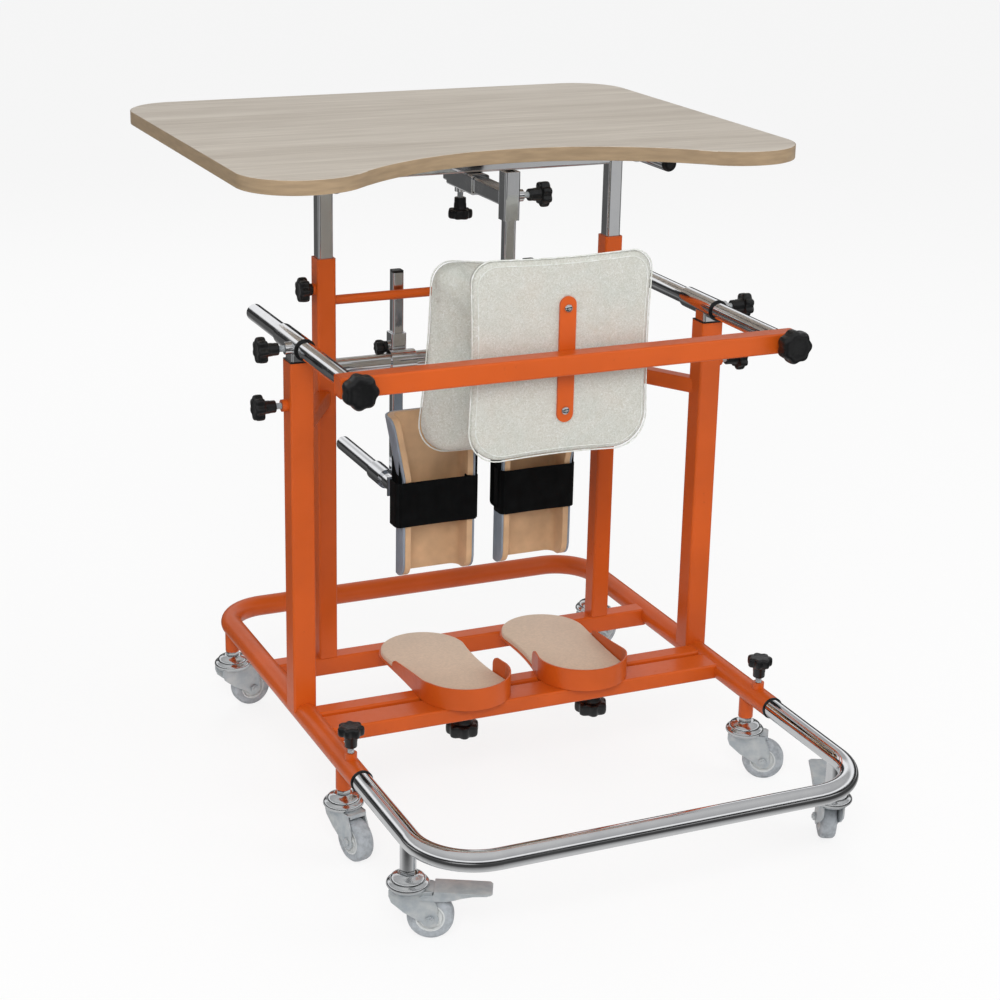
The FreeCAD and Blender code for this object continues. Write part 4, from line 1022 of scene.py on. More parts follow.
def gutter(name, node, side, centre, grow, thickness):
    """A wall bent into a gutter, flared at its outer top, with rounded free corners."""
    knees = settings("knees")
    low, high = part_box(node)
    half = knees.width / 2 - grow
    depth = high.y - low.y - grow
    radius = knees.back_radius - grow
    rise = high.z - low.z
    flare_from = knees.flare_start - low.z
    outer = centre + side * (half - radius)
    steps = [share * knees.low_corner for share in CORNER_SHARES]
    steps += [0.30 * rise, 0.50 * rise, flare_from, flare_from + 0.35 * (rise - flare_from)]
    steps += [rise - share * knees.top_corner for share in reversed(CORNER_SHARES)]

    def setback(z):
        corner, near = min((knees.low_corner, z), (knees.top_corner, rise - z),
                           key=lambda pair: pair[1])
        if near >= corner:
            return 0.0
        return corner - math.sqrt(corner ** 2 - (corner - near) ** 2)

    def lean(z):
        return knees.flare * max(0.0, z - flare_from) / (rise - flare_from)

    def shift_row(step, test, move):
        level = at_level(low.z + step)
        pick("verts", lambda place, way: level(place, way) and test(place))
        bpy.ops.transform.translate(value=move)

    def at_end(place):
        return place.y < low.y + knees.low_corner + MM / 10

    def at_outer(place):
        return (place.x - outer) * side > -MM / 20

    wall = chain(name, [(x, y, low.z)
                        for x, y in shell_line(half, depth, radius, side, centre, low.y)])
    shift_row(0.0, at_end, (0, setback(0.0), 0))
    for last, step in zip(steps, steps[1:]):
        pick("edges", at_level(low.z + last))
        raised(step - last)
        shift_row(step, at_end, (0, setback(step) - setback(last), 0))
        shift_row(step, at_outer, (side * (lean(step) - lean(last)), 0, 0))
    faced_out()
    if max(wall.data.polygons, key=lambda face: face.center.y).normal.y < 0:
        edit(wall)
        everything()
        bpy.ops.mesh.flip_normals()
        object_mode()
    modifier(wall, "SOLIDIFY", thickness=thickness, offset=-1, use_even_offset=True)
    return wall


STRAP_ROW_SHARES = (0.0, 0.04, 0.2, 0.5, 0.8, 0.96, 1.0)
STRAP_FRONT_SHARES = (0.2, 0.4, 0.6, 0.8)


def strap_band(name, node, side, thickness):
    """An elastic band round the front of a shell, bowed a little between its edges."""
    low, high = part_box(node)
    turn = 7 * MM
    bow = 1.2 * MM
    inset = thickness / 2
    x_in, x_out = (low.x, high.x) if side > 0 else (high.x, low.x)
    x_in += side * inset
    x_out -= side * inset
    back = high.y
    front = low.y + inset
    mid_y = (back + low.y + inset + turn) / 2
    width = x_out - x_in - 2 * side * turn
    first, last = (180, 360) if side > 0 else (0, 180)
    plan = [(x_in, back), (x_in, mid_y)]
    plan += arc((x_in + side * turn, front + turn), turn, first, 270, 5)
    plan += [(x_in + side * turn + width * share, front + math.sin(share * math.pi) * bow)
             for share in STRAP_FRONT_SHARES]
    plan += arc((x_out - side * turn, front + turn), turn, 270, last, 5)
    plan += [(x_out, mid_y), (x_out, back)]
    band = chain(name, [(x, y, low.z) for x, y in plan])
    rise = high.z - low.z
    for last, row in zip(STRAP_ROW_SHARES, STRAP_ROW_SHARES[1:]):
        pick("edges", at_level(low.z + last * rise))
        raised((row - last) * rise)
    object_mode()
    modifier(band, "SOLIDIFY", thickness=thickness, offset=0, use_even_offset=True)
    return softened(band, thickness * 0.35, 2, 50)


def side_patch(side_x, way, low, high):
    """A fastener patch glued flat on a shell's side wall."""
    thickness = 0.25 * MM
    depth = 24 * MM
    height = 84 * MM
    from_front = 17 * MM
    rise_share = 0.56
    corner = 5 * MM
    patch = block("patch", (thickness, depth, height),
                  (side_x + way * thickness / 2, low.y + from_front,
                   low.z + (high.z - low.z) * rise_share))
    edit(patch)
    pick("edges", lambda place, along: abs(along.x) > 0.9)
    bpy.ops.mesh.bevel(offset=corner, segments=5)
    object_mode()
    return softened(patch, thickness * 0.3, 2)


class STANDING_OT_knees(Operator):
    """Make the knee shells with their linings, straps and fastener patches"""
    bl_idname = "standing.knees"
    bl_label = "Knee supports"

    def execute(self, context):
        knees = settings("knees")
        for word, side in SIDES.items():
            node = "knee_shell_" + word
            strap = "knee_strap_" + word
            body = "knee_cup_" + word
            low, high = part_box(node)
            inner = high.x if side < 0 else low.x
            outer = inner + side * knees.width
            centre = inner + side * knees.width / 2
            shell = gutter("shell", node, side, centre, 0.0, knees.wall)
            settled(softened(shell, 0.9 * MM, 3, 50), "shell", node + "_hull", body, (node,), 40)
            lining = gutter("lining", node, side, centre, knees.wall, knees.foam)
            settled(softened(lining, 2.6 * MM, 5, 50), "lining", "knee_lining_" + word, body,
                    angle=50)
            band = strap_band("band", strap, side, knees.strap)
            settled(band, "webbing", "knee_band_" + word, body, (strap,), 50)
            for place, way, tag in ((inner, -side, "inner_"), (outer, side, "outer_")):
                settled(side_patch(place, way, low, high), "webbing", "knee_patch_" + tag + word,
                        body)
            self.rivets(word, side, body)
        return {"FINISHED"}

    def rivets(self, word, side, body):
        """Two rivets that hold the rod's plate to the shell."""
        plate_low, plate_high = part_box("knee_rod_" + word)
        inner = plate_high.x if side < 0 else plate_low.x
        places = [(inner + side * reach, plate_low.y + PLATE_METAL,
                   (plate_low.z + plate_high.z) / 2) for reach in (9 * MM, 30 * MM)]
        screw_set(4.0 * MM, 2.0 * MM, places, (0, 1, 0), "zinc", "knee_rivets_" + word, body)


class STANDING_OT_feet(Operator):
    """Make the soft insoles of the footplates"""
    bl_idname = "standing.feet"
    bl_label = "Insoles"

    def execute(self, context):
        rim = 2.2 * MM
        for word in SIDES:
            node = "insole_" + word
            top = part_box(node)[1].z
            sole = node_copy(node, "sole")
            edit(sole)
            pick("faces", lambda place, normal: normal.z > 0.9 and place.z > top - MM / 10)
            bpy.ops.mesh.region_to_loop()
            bpy.ops.mesh.bevel(offset=rim, segments=4, affect="EDGES")
            object_mode()
            settled(sole, "insole", "sole_" + word, "footplate_" + word, (node,), 50)
        return {"FINISHED"}


# Round one lobe, the fall from its crest to its valley, and up a head, its rings' rise and growth.
LOBE_FALL_SHARES = (0, 0.07, 0.40, 0.82, 1.0, 0.82, 0.40, 0.07)
HEAD_RING_SHARES = ((0.10, 1.055), (0.14, 1.05), (0.46, 1.0), (0.15, 0.965), (0.11, 0.90),
                    (0.04, 0.72), (-0.07, 0.80))
HUB_SHARES = ((0, 0), (0.90, 0), (0.95, 0.06), (0.96, 0.45), (1, 0.52), (1.03, 0.9), (1.14, 1),
              (0, 1))


def star_head(radius, depth, valley=0.80):
    """A star head that stands on the origin, with round lobes, a rolled rim and a shallow crown."""
    lobes = settings("knobs").lobes
    per_lobe = len(LOBE_FALL_SHARES)
    foot_share = 0.90
    nothing_selected()
    bpy.ops.mesh.primitive_circle_add(vertices=lobes * per_lobe, radius=radius, fill_type="NGON")
    head = bpy.context.object
    edit(head)
    for index, fall in enumerate(LOBE_FALL_SHARES):
        if not fall:
            continue

        def on_ray(place, normal):
            turn = math.atan2(place.y, place.x) / FULL_TURN * lobes * per_lobe
            return abs(((turn - index + per_lobe / 2) % per_lobe) - per_lobe / 2) < 0.2
        pick("verts", on_ray)
        share = 1 - (1 - valley) * fall
        spread(share, share)
    bpy.ops.mesh.select_mode(type="FACE")
    everything()
    spread(foot_share, foot_share)
    for rise, grow in HEAD_RING_SHARES:
        raised(rise * depth)
        spread(grow, grow)
    faced_out()
    smoothed(head)
    return head


def knob_hub(radius, length):
    """A knob's hub, a little narrower at its seat, with a moulded step."""
    return turned_to("hub", HUB_SHARES, radius, length, 32)


def threaded_stud(radius, length):
    """A bare stretch of threaded stud, in rings one pitch apart."""
    pitch = 1.25 * MM
    core = radius * 0.86
    count = max(2, int(length / pitch))
    profile = [(0, 0)]
    for index in range(count):
        low = length * index / count
        profile += [(core, low), (radius, low + length / count / 2)]
    profile += [(core, length), (0, length)]
    return turned("stud", profile, 24, closed=False)


class STANDING_OT_knobs(Operator):
    """Make every star knob with its hub and threaded stud"""
    bl_idname = "standing.knobs"
    bl_label = "Star knobs"

    def execute(self, context):
        knobs = settings("knobs")
        short_hub = 5 * MM
        small = {"radius": knobs.head, "depth": knobs.head_depth, "hub_radius": knobs.hub}
        models = {
            "long": self.model(**small, hub_length=knobs.hub_length, show=8 * MM),
            "tray_post": self.model(**small, hub_length=short_hub, show=MM),
            "knee": self.model(radius=knobs.knee_head, depth=knobs.knee_head,
                               hub_radius=knobs.hub, hub_length=short_hub, show=MM),
            "rear_bar": self.model(radius=knobs.bar_head, depth=knobs.bar_head_depth,
                                   hub_radius=11 * MM, hub_length=6 * MM, show=0.3 * MM,
                                   valley=0.88),
        }
        for name, joint in joints.items():
            if name.startswith("knob_"):
                self.put(name[:-len("_turn")], joint, models)
        for pair in models.values():
            removed(*pair)
        self.foot_knobs()
        return {"FINISHED"}

    def model(self, radius, depth, hub_radius, hub_length, show, valley=0.80):
        """The black moulding and the steel stud of one kind of knob, seated on the origin."""
        sunk = 0.3 * MM
        threaded = 2 * MM
        head = moved(star_head(radius, depth, valley), 0, 0, show + hub_length - sunk)
        hub = moved(knob_hub(hub_radius, hub_length), 0, 0, show)
        stud = threaded_stud(settings("knobs").stud, show + threaded)
        return joined("moulding", [head, hub]), stud

    def put(self, node, joint, models):
        kinds = [kind for kind in models if kind in node]
        moulding, stud = models[kinds[0] if kinds else "long"]
        where = aimed(joint["pos_m"], joint["axis"])
        settled(moved_by(twin(moulding, "grip"), where), "black", node + "_grip", node, (node,))
        settled(moved_by(twin(stud, "rod"), where), "zinc", node + "_stud", node)

    def foot_knobs(self):
        """The knobs, washers and bolts under the footplates."""
        knobs = settings("knobs")
        upside_down = Matrix.Rotation(math.pi, 4, "X")
        bore = 4.1 * MM
        washer_radius = 11 * MM
        washer_edge = 0.4 * MM
        washer_height = 2 * MM
        cap_radius = 7 * MM
        cap_height = 3 * MM
        for word in SIDES:
            node = "foot_bolt_" + word
            low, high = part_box(node)
            x = (low.x + high.x) / 2
            y = joints["foot_turn_" + word]["pos_m"][1]
            seat = low.z + knobs.foot_head_depth + knobs.foot_hub_length
            head = moved_by(star_head(knobs.foot_head, knobs.foot_head_depth), upside_down)
            hub = moved_by(knob_hub(knobs.foot_hub, knobs.foot_hub_length), upside_down)
            grip = joined("grip", [moved(head, x, y, low.z + knobs.foot_head_depth),
                                   moved(hub, x, y, seat)])
            settled(grip, "black", node + "_grip", node, (node,))
            inner_edge = washer_radius - washer_edge
            washer = turned("washer", [(bore, 0), (inner_edge, 0), (washer_radius, washer_edge),
                                       (washer_radius, washer_height - washer_edge),
                                       (inner_edge, washer_height), (bore, washer_height)])
            shank = threaded_stud(knobs.stud, high.z - cap_height - seat)
            cap = turned("cap", [(0, 0), (cap_radius, 0), (cap_radius, 1.6 * MM),
                                 (5 * MM, 2.8 * MM), (0, cap_height)], 28, closed=False)
            steel = joined("bolt", [moved(shank, x, y, seat), moved(washer, x, y, seat),
                                    moved(cap, x, y, high.z - cap_height)])
            settled(steel, "zinc", node + "_steel", node)


def caster_matrix(name):
    """Where a caster stands and which way it trails."""
    place = joints["swivel_" + name]["pos_m"]
    axle = joints["spin_" + name]["axis"]
    heading = math.atan2(-axle[0], axle[1])
    return Matrix.Translation((place[0], place[1], 0)) @ Matrix.Rotation(heading, 4, "Z")


def upright(piece):
    """Turn a plate drawn in XY so that its Y becomes Z and it grows towards -Y."""
    return moved_by(piece, Matrix.Rotation(math.pi / 2, 4, "X"))


def along_y(piece):
    """Turn a piece turned about Z so that its axis lies along Y."""
    return moved_by(piece, Matrix.Rotation(-math.pi / 2, 4, "X"))


FORK_TOP = 63 * MM
FORK_REACH = 11.2 * MM
FORK_METAL = 2.4 * MM
PEDAL_PIVOT = (17 * MM, 56 * MM)
PEDAL_METAL = 1.8 * MM
PEDAL_HALF = 16 * MM


def fork_cheek():
    """One pressed side plate of a caster fork, lying along XZ at Y = 0."""
    casters = settings("casters")
    outline = [(-21 * MM, FORK_TOP), *in_mm((-21, 55), (-18, 47), (-4, 35))]
    outline += arc((casters.trail, casters.wheel), 10 * MM, 205, 395, 10)
    outline += in_mm((35, 39), (33.4, 46), (30.4, 52), (28.4, 57))
    outline.append((28 * MM, FORK_TOP))
    return softened(upright(plate("cheek", outline, FORK_METAL)), 0.6 * MM, 2)


def fork_pressing():
    """The two cheeks and the dished top plate with its lip."""
    half = FORK_REACH + FORK_METAL
    nose = 30 * MM
    corner = 2 * MM
    lip_metal = 1.8 * MM
    lip_height = 5.4 * MM
    near = moved(fork_cheek(), 0, -FORK_REACH, 0)
    far = moved(fork_cheek(), 0, half, 0)
    outline = arc((0, 0), 21.5 * MM, 42, 318, 18)
    outline += [(nose - corner, -half), (nose, -half + corner), (nose, half - corner),
                (nose - corner, half)]
    top = moved(plate("fork_top", outline, FORK_METAL), 0, 0, FORK_TOP - FORK_METAL)
    softened(top, 0.7 * MM, 2)
    lip = block("lip", (lip_metal, 2 * half - 5 * MM, lip_height),
                (30.2 * MM, 0, FORK_TOP - 2.8 * MM))
    softened(lip, 0.7 * MM, 2)
    return joined("fork_pressing", [near, far, top, lip])


def swivel_race():
    """The rolled ball race over a fork and the hexagon nut on top of it."""
    profile = in_mm((0, 0), (21.5, 0), (24.0, 0.7), (25.0, 2.6), (24.8, 4.8), (23.4, 6.6),
                    (21.4, 7.4), (20.6, 8.2), (20.4, 9.6), (19.2, 11.6), (16.4, 13.2),
                    (13.2, 14.2), (11.4, 15.2), (10.8, 16.0), (0, 16.0))
    race = turned("race", [(r, FORK_TOP + z) for r, z in profile], 48, closed=False)
    nut = softened(hexagon("nut", 9.2 * MM, 5.6 * MM, FORK_TOP + 18.8 * MM), 0.7 * MM, 2)
    return joined("race_and_nut", [race, nut])


def mirrored(side):
    """A profile's one side, then the same on the other side of its middle."""
    return side + [(r, -z) for r, z in reversed(side)]


def axle_bolt():
    """A caster's axle: a domed hexagon head on one side and a nut on the other."""
    reach = FORK_REACH + FORK_METAL
    nut_depth = 3.2 * MM
    radius = 3 * MM
    tip = 2.6 * MM
    edge = 0.6 * MM
    end = reach + 4.6 * MM
    nuts = [softened(hexagon("nut", 5.8 * MM, nut_depth, way * (reach + nut_depth / 2)), edge, 2)
            for way in (-1, 1)]
    shaft = turned("shaft", mirrored([(0, -end), (tip, -end), (radius, edge - end)]), 20,
                   closed=False)
    return along_y(joined("axle_bolt", [*nuts, shaft]))


def wheel_pieces():
    """A crowned tyre and a recessed hub, both about the Y axis at the origin."""
    casters = settings("casters")
    half = casters.width / 2
    outer = casters.wheel
    rim = casters.hub
    shoulder = [(rim, -half), (rim + 4.5 * MM, -half), (outer - 2.4 * MM, -half + 0.8 * MM),
                (outer - 0.8 * MM, -half + 2.6 * MM), (outer - 0.1 * MM, -half + 5.4 * MM)]
    crown = shoulder + [(outer, 0)] + [(r, -z) for r, z in reversed(shoulder)]
    boss = half + 0.5 * MM
    recess = half - 2.6 * MM
    side = [(rim, half - 0.3 * MM), (rim - 1.6 * MM, half + 0.1 * MM),
            (rim - 2.6 * MM, half - 1.2 * MM), (rim - 3.4 * MM, recess), (8.4 * MM, recess),
            (7.4 * MM, half - 1.4 * MM), (7.0 * MM, boss), (4.1 * MM, boss)]
    return along_y(turned("tyre", crown, 56)), along_y(turned("hub", mirrored(side), 48))


def pedal_pressing(tilt):
    """A brake pedal: a smooth tread with side flanges that sweep up from its pivot."""
    half = PEDAL_HALF
    pivot_x, pivot_z = PEDAL_PIVOT
    tail = 30 * MM
    nose = 96 * MM
    corner = 3 * MM
    corner_y = half - 4 * MM
    tread = plate("tread", [(tail, -half), (nose - corner, -half), (nose, -corner_y),
                            (nose, corner_y), (nose - corner, half), (tail, half)], PEDAL_METAL)
    pieces = [softened(moved(tread, 0, 0, 62.2 * MM), 0.6 * MM, 2)]
    flange = [(pivot_x - 3.6 * MM, pivot_z)]
    flange += arc(PEDAL_PIVOT, 4 * MM, 200, 280, 4)
    flange += in_mm((30, 52), (42, 52.2), (52, 54), (62, 57.4), (74, 60.2), (90, 61.4),
                    (92, 62.6), (30, 63.2), (29.6, 59.4), (26, 59))
    flange.append((pivot_x, 59 * MM))
    for start in (PEDAL_METAL - half, half):
        web = moved(upright(plate("flange", flange, PEDAL_METAL)), 0, start, 0)
        pieces.append(softened(web, 0.5 * MM, 2))
    pin_radius = 1.9 * MM
    pin_end = half + MM
    pin = along_y(turned("pin", mirrored([(0, -pin_end), (pin_radius, -pin_end)]), 20,
                         closed=False))
    pieces.append(moved(pin, pivot_x, 0, pivot_z))
    shoe = block("shoe", (12 * MM, 19 * MM, 5.6 * MM), (36 * MM, 0, 59.5 * MM))
    pieces.append(softened(shoe, MM, 2))
    pivot = Matrix.Translation((pivot_x, 0, pivot_z))
    return moved_by(joined("pedal", pieces),
                    pivot @ Matrix.Rotation(tilt, 4, "Y") @ pivot.inverted())


class STANDING_OT_casters(Operator):
    """Make the six casters with their forks, wheels and brake pedals"""
    bl_idname = "standing.casters"
    bl_label = "Casters"

    def execute(self, context):
        casters = settings("casters")
        axle = (casters.trail, 0, casters.wheel)
        tyre, hub = wheel_pieces()
        models = ((fork_pressing(), "zinc", "fork_", "caster_", "caster_fork_"),
                  (swivel_race(), "race", "race_", "caster_", ""),
                  (moved(axle_bolt(), *axle), "zinc", "axle_", "caster_", ""),
                  (moved(tyre, *axle), "tyre", "tyre_", "wheel_", "caster_wheel_"),
                  (moved(hub, *axle), "hub", "hub_", "wheel_", ""))
        for name in CASTERS:
            for model, look, piece, body, node in models:
                copy = moved_by(twin(model, "copy"), caster_matrix(name))
                settled(copy, look, piece + name, body + name, (node + name,) if node else ())
        for name, tilt in BRAKED_TILTS.items():
            pedal = moved_by(pedal_pressing(tilt), caster_matrix(name))
            settled(pedal, "zinc", "pedal_" + name, "pedal_" + name, ("brake_pedal_" + name,))
        removed(*(model[0] for model in models))
        return {"FINISHED"}


CAP_SHARES = ((0, 0), (1, 0), (1, 0.3), (0.94, 0.62), (0.76, 0.9), (0.4, 1), (0, 1))


def end_ring(bore, outer, width):
    """A thin black collar where one tube slides out of another, its bore on Z."""
    edge = min(0.5 * MM, width / 4)
    profile = [(bore, 0), (outer - edge, 0), (outer, edge), (outer, width - edge),
               (outer - edge, width), (bore, width)]
    return turned("ring", profile, 48)


def end_cap(radius, depth):
    """A domed plastic plug in a tube's end, facing +Z from the tube's rim."""
    return turned_to("cap", CAP_SHARES, radius, depth, 40)


def square_collar():
    """The black insert between a side post's top and its stem."""
    width = 29 * MM
    wall = 1.85 * MM
    height = 1.4 * MM
    nothing_selected()
    bpy.ops.mesh.primitive_plane_add(size=width, location=(0, 0, 0))
    collar = bpy.context.object
    edit(collar)
    everything()
    bpy.ops.mesh.inset(thickness=wall)
    bpy.ops.mesh.delete(type="FACE")
    everything()
    raised(height)
    faced_out()
    return softened(collar, 0.6 * MM, 3)


def square_cap(size):
    """A square plug with a raised face, standing on the origin."""
    height = 2 * MM
    cap = block("cap", (size, size, height), (0, 0, height / 2))
    edit(cap)
    pick("edges", lambda point, along: abs(along.z) > 0.9)
    bpy.ops.mesh.bevel(offset=2.6 * MM, segments=4)
    pick("faces", lambda point, normal: normal.z > 0.9)
    bpy.ops.mesh.inset(thickness=size * 0.08)
    bpy.ops.transform.translate(value=(0, 0, 0.5 * MM))
    object_mode()
    return softened(cap, 0.35 * MM, 2)


RAIL_RADIUS = 12.5 * MM
TUBE_RADIUS = 10 * MM
POST_TOP = 581 * MM
SMALL_CAP = 14.6 * MM
ALONG_Y = (0, 1, 0)


class STANDING_OT_trims(Operator):
    """Make the black collars and end caps"""
    bl_idname = "standing.trims"
    bl_label = "Collars and caps"

    def put(self, piece, name, body, place, axis=ALONG_Y, look="black"):
        settled(moved_by(piece, aimed(place, axis)), look, name, body)

    def execute(self, context):
        for word, side in SIDES.items():
            self.collars(word, side)
            self.round_caps(word, side)
            post_y = joints["knob_side_post_" + word + "_turn"]["pos_m"][1]
            self.put(square_collar(), "post_collar_" + word, "frame",
                     (self.rail_x(side), post_y, POST_TOP), (0, 0, 1))
        arm_above_knob = 19.5 * MM
        arm_z = joints["knob_arm_sleeve_turn"]["pos_m"][2] + arm_above_knob
        self.put(square_cap(19.6 * MM), "chest_arm_cap", "chest_arm",
                 (0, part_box("chest_arm")[1].y, arm_z))
        tube_y = joints["knob_chest_sleeve_turn"]["pos_m"][1]
        self.put(square_cap(SMALL_CAP), "chest_tube_cap", "chest_support",
                 (0, tube_y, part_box("chest_tube")[0].z), (0, 0, -1))
        for word, side in SIDES.items():
            self.square_side_caps(word, side)
        return {"FINISHED"}

    def rail_x(self, side):
        return side * abs(joints["knob_base_left_turn"]["pos_m"][0])

    def collars(self, word, side):
        """The rings on the base's open ends and on the arms' guides."""
        x = self.rail_x(side)
        ring_width = 2.6 * MM
        base_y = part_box("base_tube")[0].y - 2.2 * MM
        rail_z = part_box("extension_tube")[1].z - RAIL_RADIUS
        self.put(end_ring(12.65 * MM, 14.15 * MM, ring_width), "base_collar_" + word, "frame",
                 (x, base_y, rail_z))
        ring_width = 2 * MM
        guide_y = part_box("arm_stems")[0].y - ring_width
        self.put(end_ring(11.15 * MM, 13.65 * MM, ring_width), "arm_collar_" + word, "arm_stems",
                 (x, guide_y, middle("side_arms").z))

    def round_caps(self, word, side):
        """The plugs in the arms' far ends, the runners' ends and the rods' far ends."""
        self.put(end_cap(10.6 * MM, 3 * MM), "arm_cap_" + word, "side_arms",
                 (self.rail_x(side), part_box("side_arms")[1].y, middle("side_arms").z))
        low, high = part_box("tray_runners")
        x = high.x - TUBE_RADIUS if side > 0 else low.x + TUBE_RADIUS
        z = low.z + TUBE_RADIUS
        for tag, y, axis in (("near_", low.y, (0, -1, 0)), ("far_", high.y, ALONG_Y)):
            self.put(end_cap(TUBE_RADIUS, 5 * MM), "runner_cap_" + tag + word, "tray",
                     (x, y, z), axis)
        low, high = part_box("knee_rod_" + word)
        x = high.x - TUBE_RADIUS if side > 0 else low.x + TUBE_RADIUS
        self.put(end_cap(9.6 * MM, 3 * MM), "knee_rod_cap_" + word, "knee_cup_" + word,
                 (x, high.y, (low.z + high.z) / 2))

    def square_side_caps(self, word, side):
        """The plugs in the knee tubes' tops and in the rear bar's ends."""
        tube_from_knob = 13.5 * MM
        bar_from_knob = 12.5 * MM
        knob = joints["knob_knee_" + word + "_turn"]["pos_m"]
        self.put(square_cap(SMALL_CAP), "knee_tube_cap_" + word, "knee_tube_" + word,
                 (knob[0] - side * tube_from_knob, knob[1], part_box("knee_tube_" + word)[1].z),
                 (0, 0, 1))
        low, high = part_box("rear_bar")
        knob = joints["knob_rear_bar_" + word + "_turn"]["pos_m"]
        self.put(square_cap(24.4 * MM), "rear_bar_cap_" + word, "side_arms",
                 (high.x if side > 0 else low.x, knob[1] + bar_from_knob, knob[2]), (side, 0, 0),
                 "orange")


class STANDING_OT_tray(Operator):
    """Give the tray board its glued edge band"""
    bl_idname = "standing.tray"
    bl_label = "Tray board"

    def execute(self, context):
        band_thickness = 0.5 * MM
        band = node_copy("tray_board", "band")
        edit(band)
        pick("faces", lambda place, normal: abs(normal.z) > 0.5)
        bpy.ops.mesh.delete(type="FACE")
        object_mode()
        modifier(band, "SOLIDIFY", thickness=band_thickness, offset=1, use_even_offset=True)
        settled(softened(band, 0.2 * MM, 2, 50), "band", "tray_edge_band", "tray", angle=30)
        return {"FINISHED"}


class STANDING_OT_coat(Operator):
    """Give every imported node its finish"""
    bl_idname = "standing.coat"
    bl_label = "Finishes"

    def execute(self, context):
        looks = {name: "orange" for name in ORANGE_NODES}
        looks.update({name: "chrome" for name in CHROME_NODES})
        looks["tray_board"] = "laminate"
        for name, node in frame["nodes"].items():
            material = finish(looks.get(name, "zinc"))
            for slot in node.material_slots:
                slot.material = material
        return {"FINISHED"}


# Each lamp's place, the side of its softbox and the stage's power for it.
LAMPS = (("key", (-1.3, -2.6, 2.3), 1.6), ("fill", (2.6, -1.7, 1.7), 2.0),
         ("rim", (0.6, 2.6, 2.4), 1.8))
# Up the sky that metal sees: dark low wall, bright lamp row and grey ceiling, as grey levels.
SKY_ENDS = ((0.0, 0.05), (1.0, 0.62))
SKY_STEPS = ((0.50, 0.03), (0.60, 0.045), (0.645, 1.0), (0.70, 1.0), (0.75, 0.42), (0.86, 0.50))


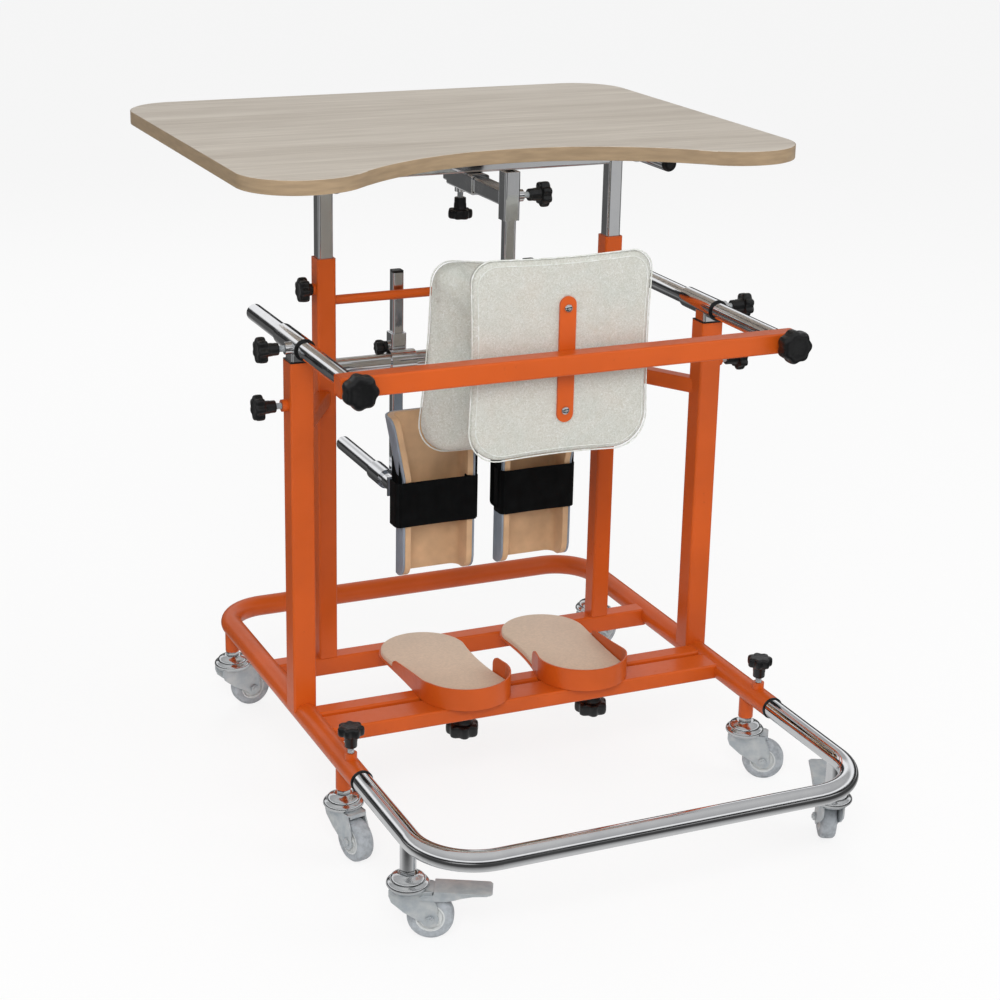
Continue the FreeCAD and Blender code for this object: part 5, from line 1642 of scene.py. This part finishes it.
class STANDING_OT_stage(Operator):
    """Make the pale floor, the even sky, the lamps and the camera"""
    bl_idname = "standing.stage"
    bl_label = "Stage"

    def execute(self, context):
        nothing_selected()
        self.floor()
        self.sky(context.scene)
        for name, place, size in LAMPS:
            self.lamp(name, place, size)
        self.camera(context.scene)
        context.scene.view_settings.view_transform = "Standard"
        return {"FINISHED"}

    def floor(self):
        """Plain pale paper that keeps the shadow, a little lit for the camera."""
        lit_share = 0.82
        bpy.ops.mesh.primitive_circle_add(vertices=64, radius=14, fill_type="NGON")
        floor = bpy.context.object
        floor.name = "floor"
        paint = Paint("pale_floor", (0.86, 0.86, 0.86), 0.9, Specular_IOR_Level=0.1)
        seen = paint.rays("Camera").larger(paint.rays("Transmission")) * lit_share
        paper = paint.layered(seen, paint.shader.outputs[0], paint.glow("ShaderNodeEmission"))
        whole = paint.layered(paint.rays("Glossy"), paper, self.mirrored_floor(paint))
        paint.plug(paint.tree.nodes["Material Output"].inputs["Surface"], whole)
        floor.data.materials.append(paint.material)

    def mirrored_floor(self, paint):
        """What metal sees of the floor: pale near the object, a dark ring, dim streaks beyond."""
        pale = 0.62
        dark = 0.06
        streaks = 5.0
        x, y = paint.axes()[:2]
        distance = (x * x + y * y) ** 0.5
        streak = (y.bearing(x) * streaks).sine().between(-0.2, 0.8) * 0.40 + 0.10
        outer = (streak - dark) * distance.between(1.1, 1.7) + dark
        tone = (outer - pale) * distance.between(0.50, 0.68) + pale
        return paint.glow("ShaderNodeEmission", Color=tone)

    def sky(self, scene):
        """An even pale sky; metal sees a dark low wall, a bright lamp row and a grey ceiling."""
        world = bpy.data.worlds.new("studio")
        scene.world = world
        world.use_nodes = True
        world.node_tree.nodes.clear()
        nodes = Nodes(world.node_tree)
        steps = [(position, (level, level, level * 1.01, 1)) for position, level in SKY_STEPS]
        ends = [(position, (level, level, level, 1)) for position, level in SKY_ENDS]
        height = nodes.axes("Generated")[2] * 0.5 + 0.5
        ramp = nodes.node("ShaderNodeValToRGB", {"stops": [ends[0], *steps, ends[1]]},
                          {"Fac": height})
        even = nodes.glow("ShaderNodeBackground", Color=WHITE, Strength=settings("stage").sky)
        mirror = nodes.glow("ShaderNodeBackground", Color=ramp.outputs["Color"])
        white = nodes.glow("ShaderNodeBackground", Color=WHITE)
        lit = nodes.layered(nodes.rays("Glossy"), even, mirror)
        whole = nodes.layered(nodes.rays("Camera"), lit, white)
        nodes.node("ShaderNodeOutputWorld", {}, {"Surface": whole})

    def lamp(self, name, place, size):
        """A square softbox that faces the middle of the object and isn't mirrored in it."""
        middle_height = 0.45
        bpy.ops.object.light_add(type="AREA", location=place)
        lamp = bpy.context.object
        lamp.name = name + "_lamp"
        lamp.data.shape = "SQUARE"
        lamp.data.size = size
        lamp.data.energy = getattr(settings("stage"), name)
        way = Vector((0, 0, middle_height)) - Vector(place)
        lamp.rotation_euler = way.to_track_quat("-Z", "Y").to_euler()
        lamp.visible_glossy = False

    def camera(self, scene):
        """The photo's own view: where it stood, how it was turned, and how it was cropped."""
        azimuth = 0.4118
        pitch = 0.3279
        roll = 0.0166
        place = Vector((-1.0761, -2.34615, 1.2691))
        crop_x = 0.0342
        crop_y = -0.021
        level = Vector((math.cos(azimuth), -math.sin(azimuth), 0))
        ahead = Vector((math.sin(azimuth) * math.cos(pitch), math.cos(azimuth) * math.cos(pitch),
                        -math.sin(pitch)))
        above = level.cross(ahead)
        right = math.cos(roll) * level + math.sin(roll) * above
        top = math.cos(roll) * above - math.sin(roll) * level
        bpy.ops.object.camera_add(location=place)
        camera = bpy.context.object
        camera.name = "camera"
        turn = Matrix((right, top, -ahead)).transposed().to_4x4()
        camera.matrix_world = Matrix.Translation(place) @ turn
        camera.data.sensor_width = 36
        camera.data.lens = settings("stage").lens
        camera.data.shift_x = crop_x
        camera.data.shift_y = crop_y
        camera.data.clip_end = 60
        scene.camera = camera


STEPS = (STANDING_OT_coat, STANDING_OT_stage, STANDING_OT_tray, STANDING_OT_trims,
         STANDING_OT_knobs, STANDING_OT_casters, STANDING_OT_feet, STANDING_OT_knees,
         STANDING_OT_pads)
GROUPS = (("finish", FinishSettings), ("pads", PadSettings), ("knees", KneeSettings),
          ("knobs", KnobSettings), ("casters", CasterSettings), ("stage", StageSettings))


class STANDING_PT_panel(Panel):
    """Lists the pieces and their sizes"""
    bl_idname = "STANDING_PT_panel"
    bl_label = "Standing Frame"
    bl_space_type = "VIEW_3D"
    bl_region_type = "UI"
    bl_category = "Standing Frame"

    def draw(self, context):
        for step in STEPS:
            self.layout.operator(step.bl_idname)
        for name, group in GROUPS:
            box = self.layout.box()
            box.label(text=name.title())
            for key in group.__annotations__:
                box.prop(getattr(context.scene, "standing_" + name), key)


def register():
    for name, group in GROUPS:
        bpy.utils.register_class(group)
        setattr(bpy.types.Scene, "standing_" + name, PointerProperty(type=group))
    for step in STEPS:
        bpy.utils.register_class(step)
    bpy.utils.register_class(STANDING_PT_panel)


def unregister():
    bpy.utils.unregister_class(STANDING_PT_panel)
    for step in reversed(STEPS):
        bpy.utils.unregister_class(step)
    for name, group in reversed(GROUPS):
        delattr(bpy.types.Scene, "standing_" + name)
        bpy.utils.unregister_class(group)


def main():
    register()
    for step in STEPS:
        group, action = step.bl_idname.split(".")
        getattr(getattr(bpy.ops, group), action)()


if __name__ == "__main__":
    main()
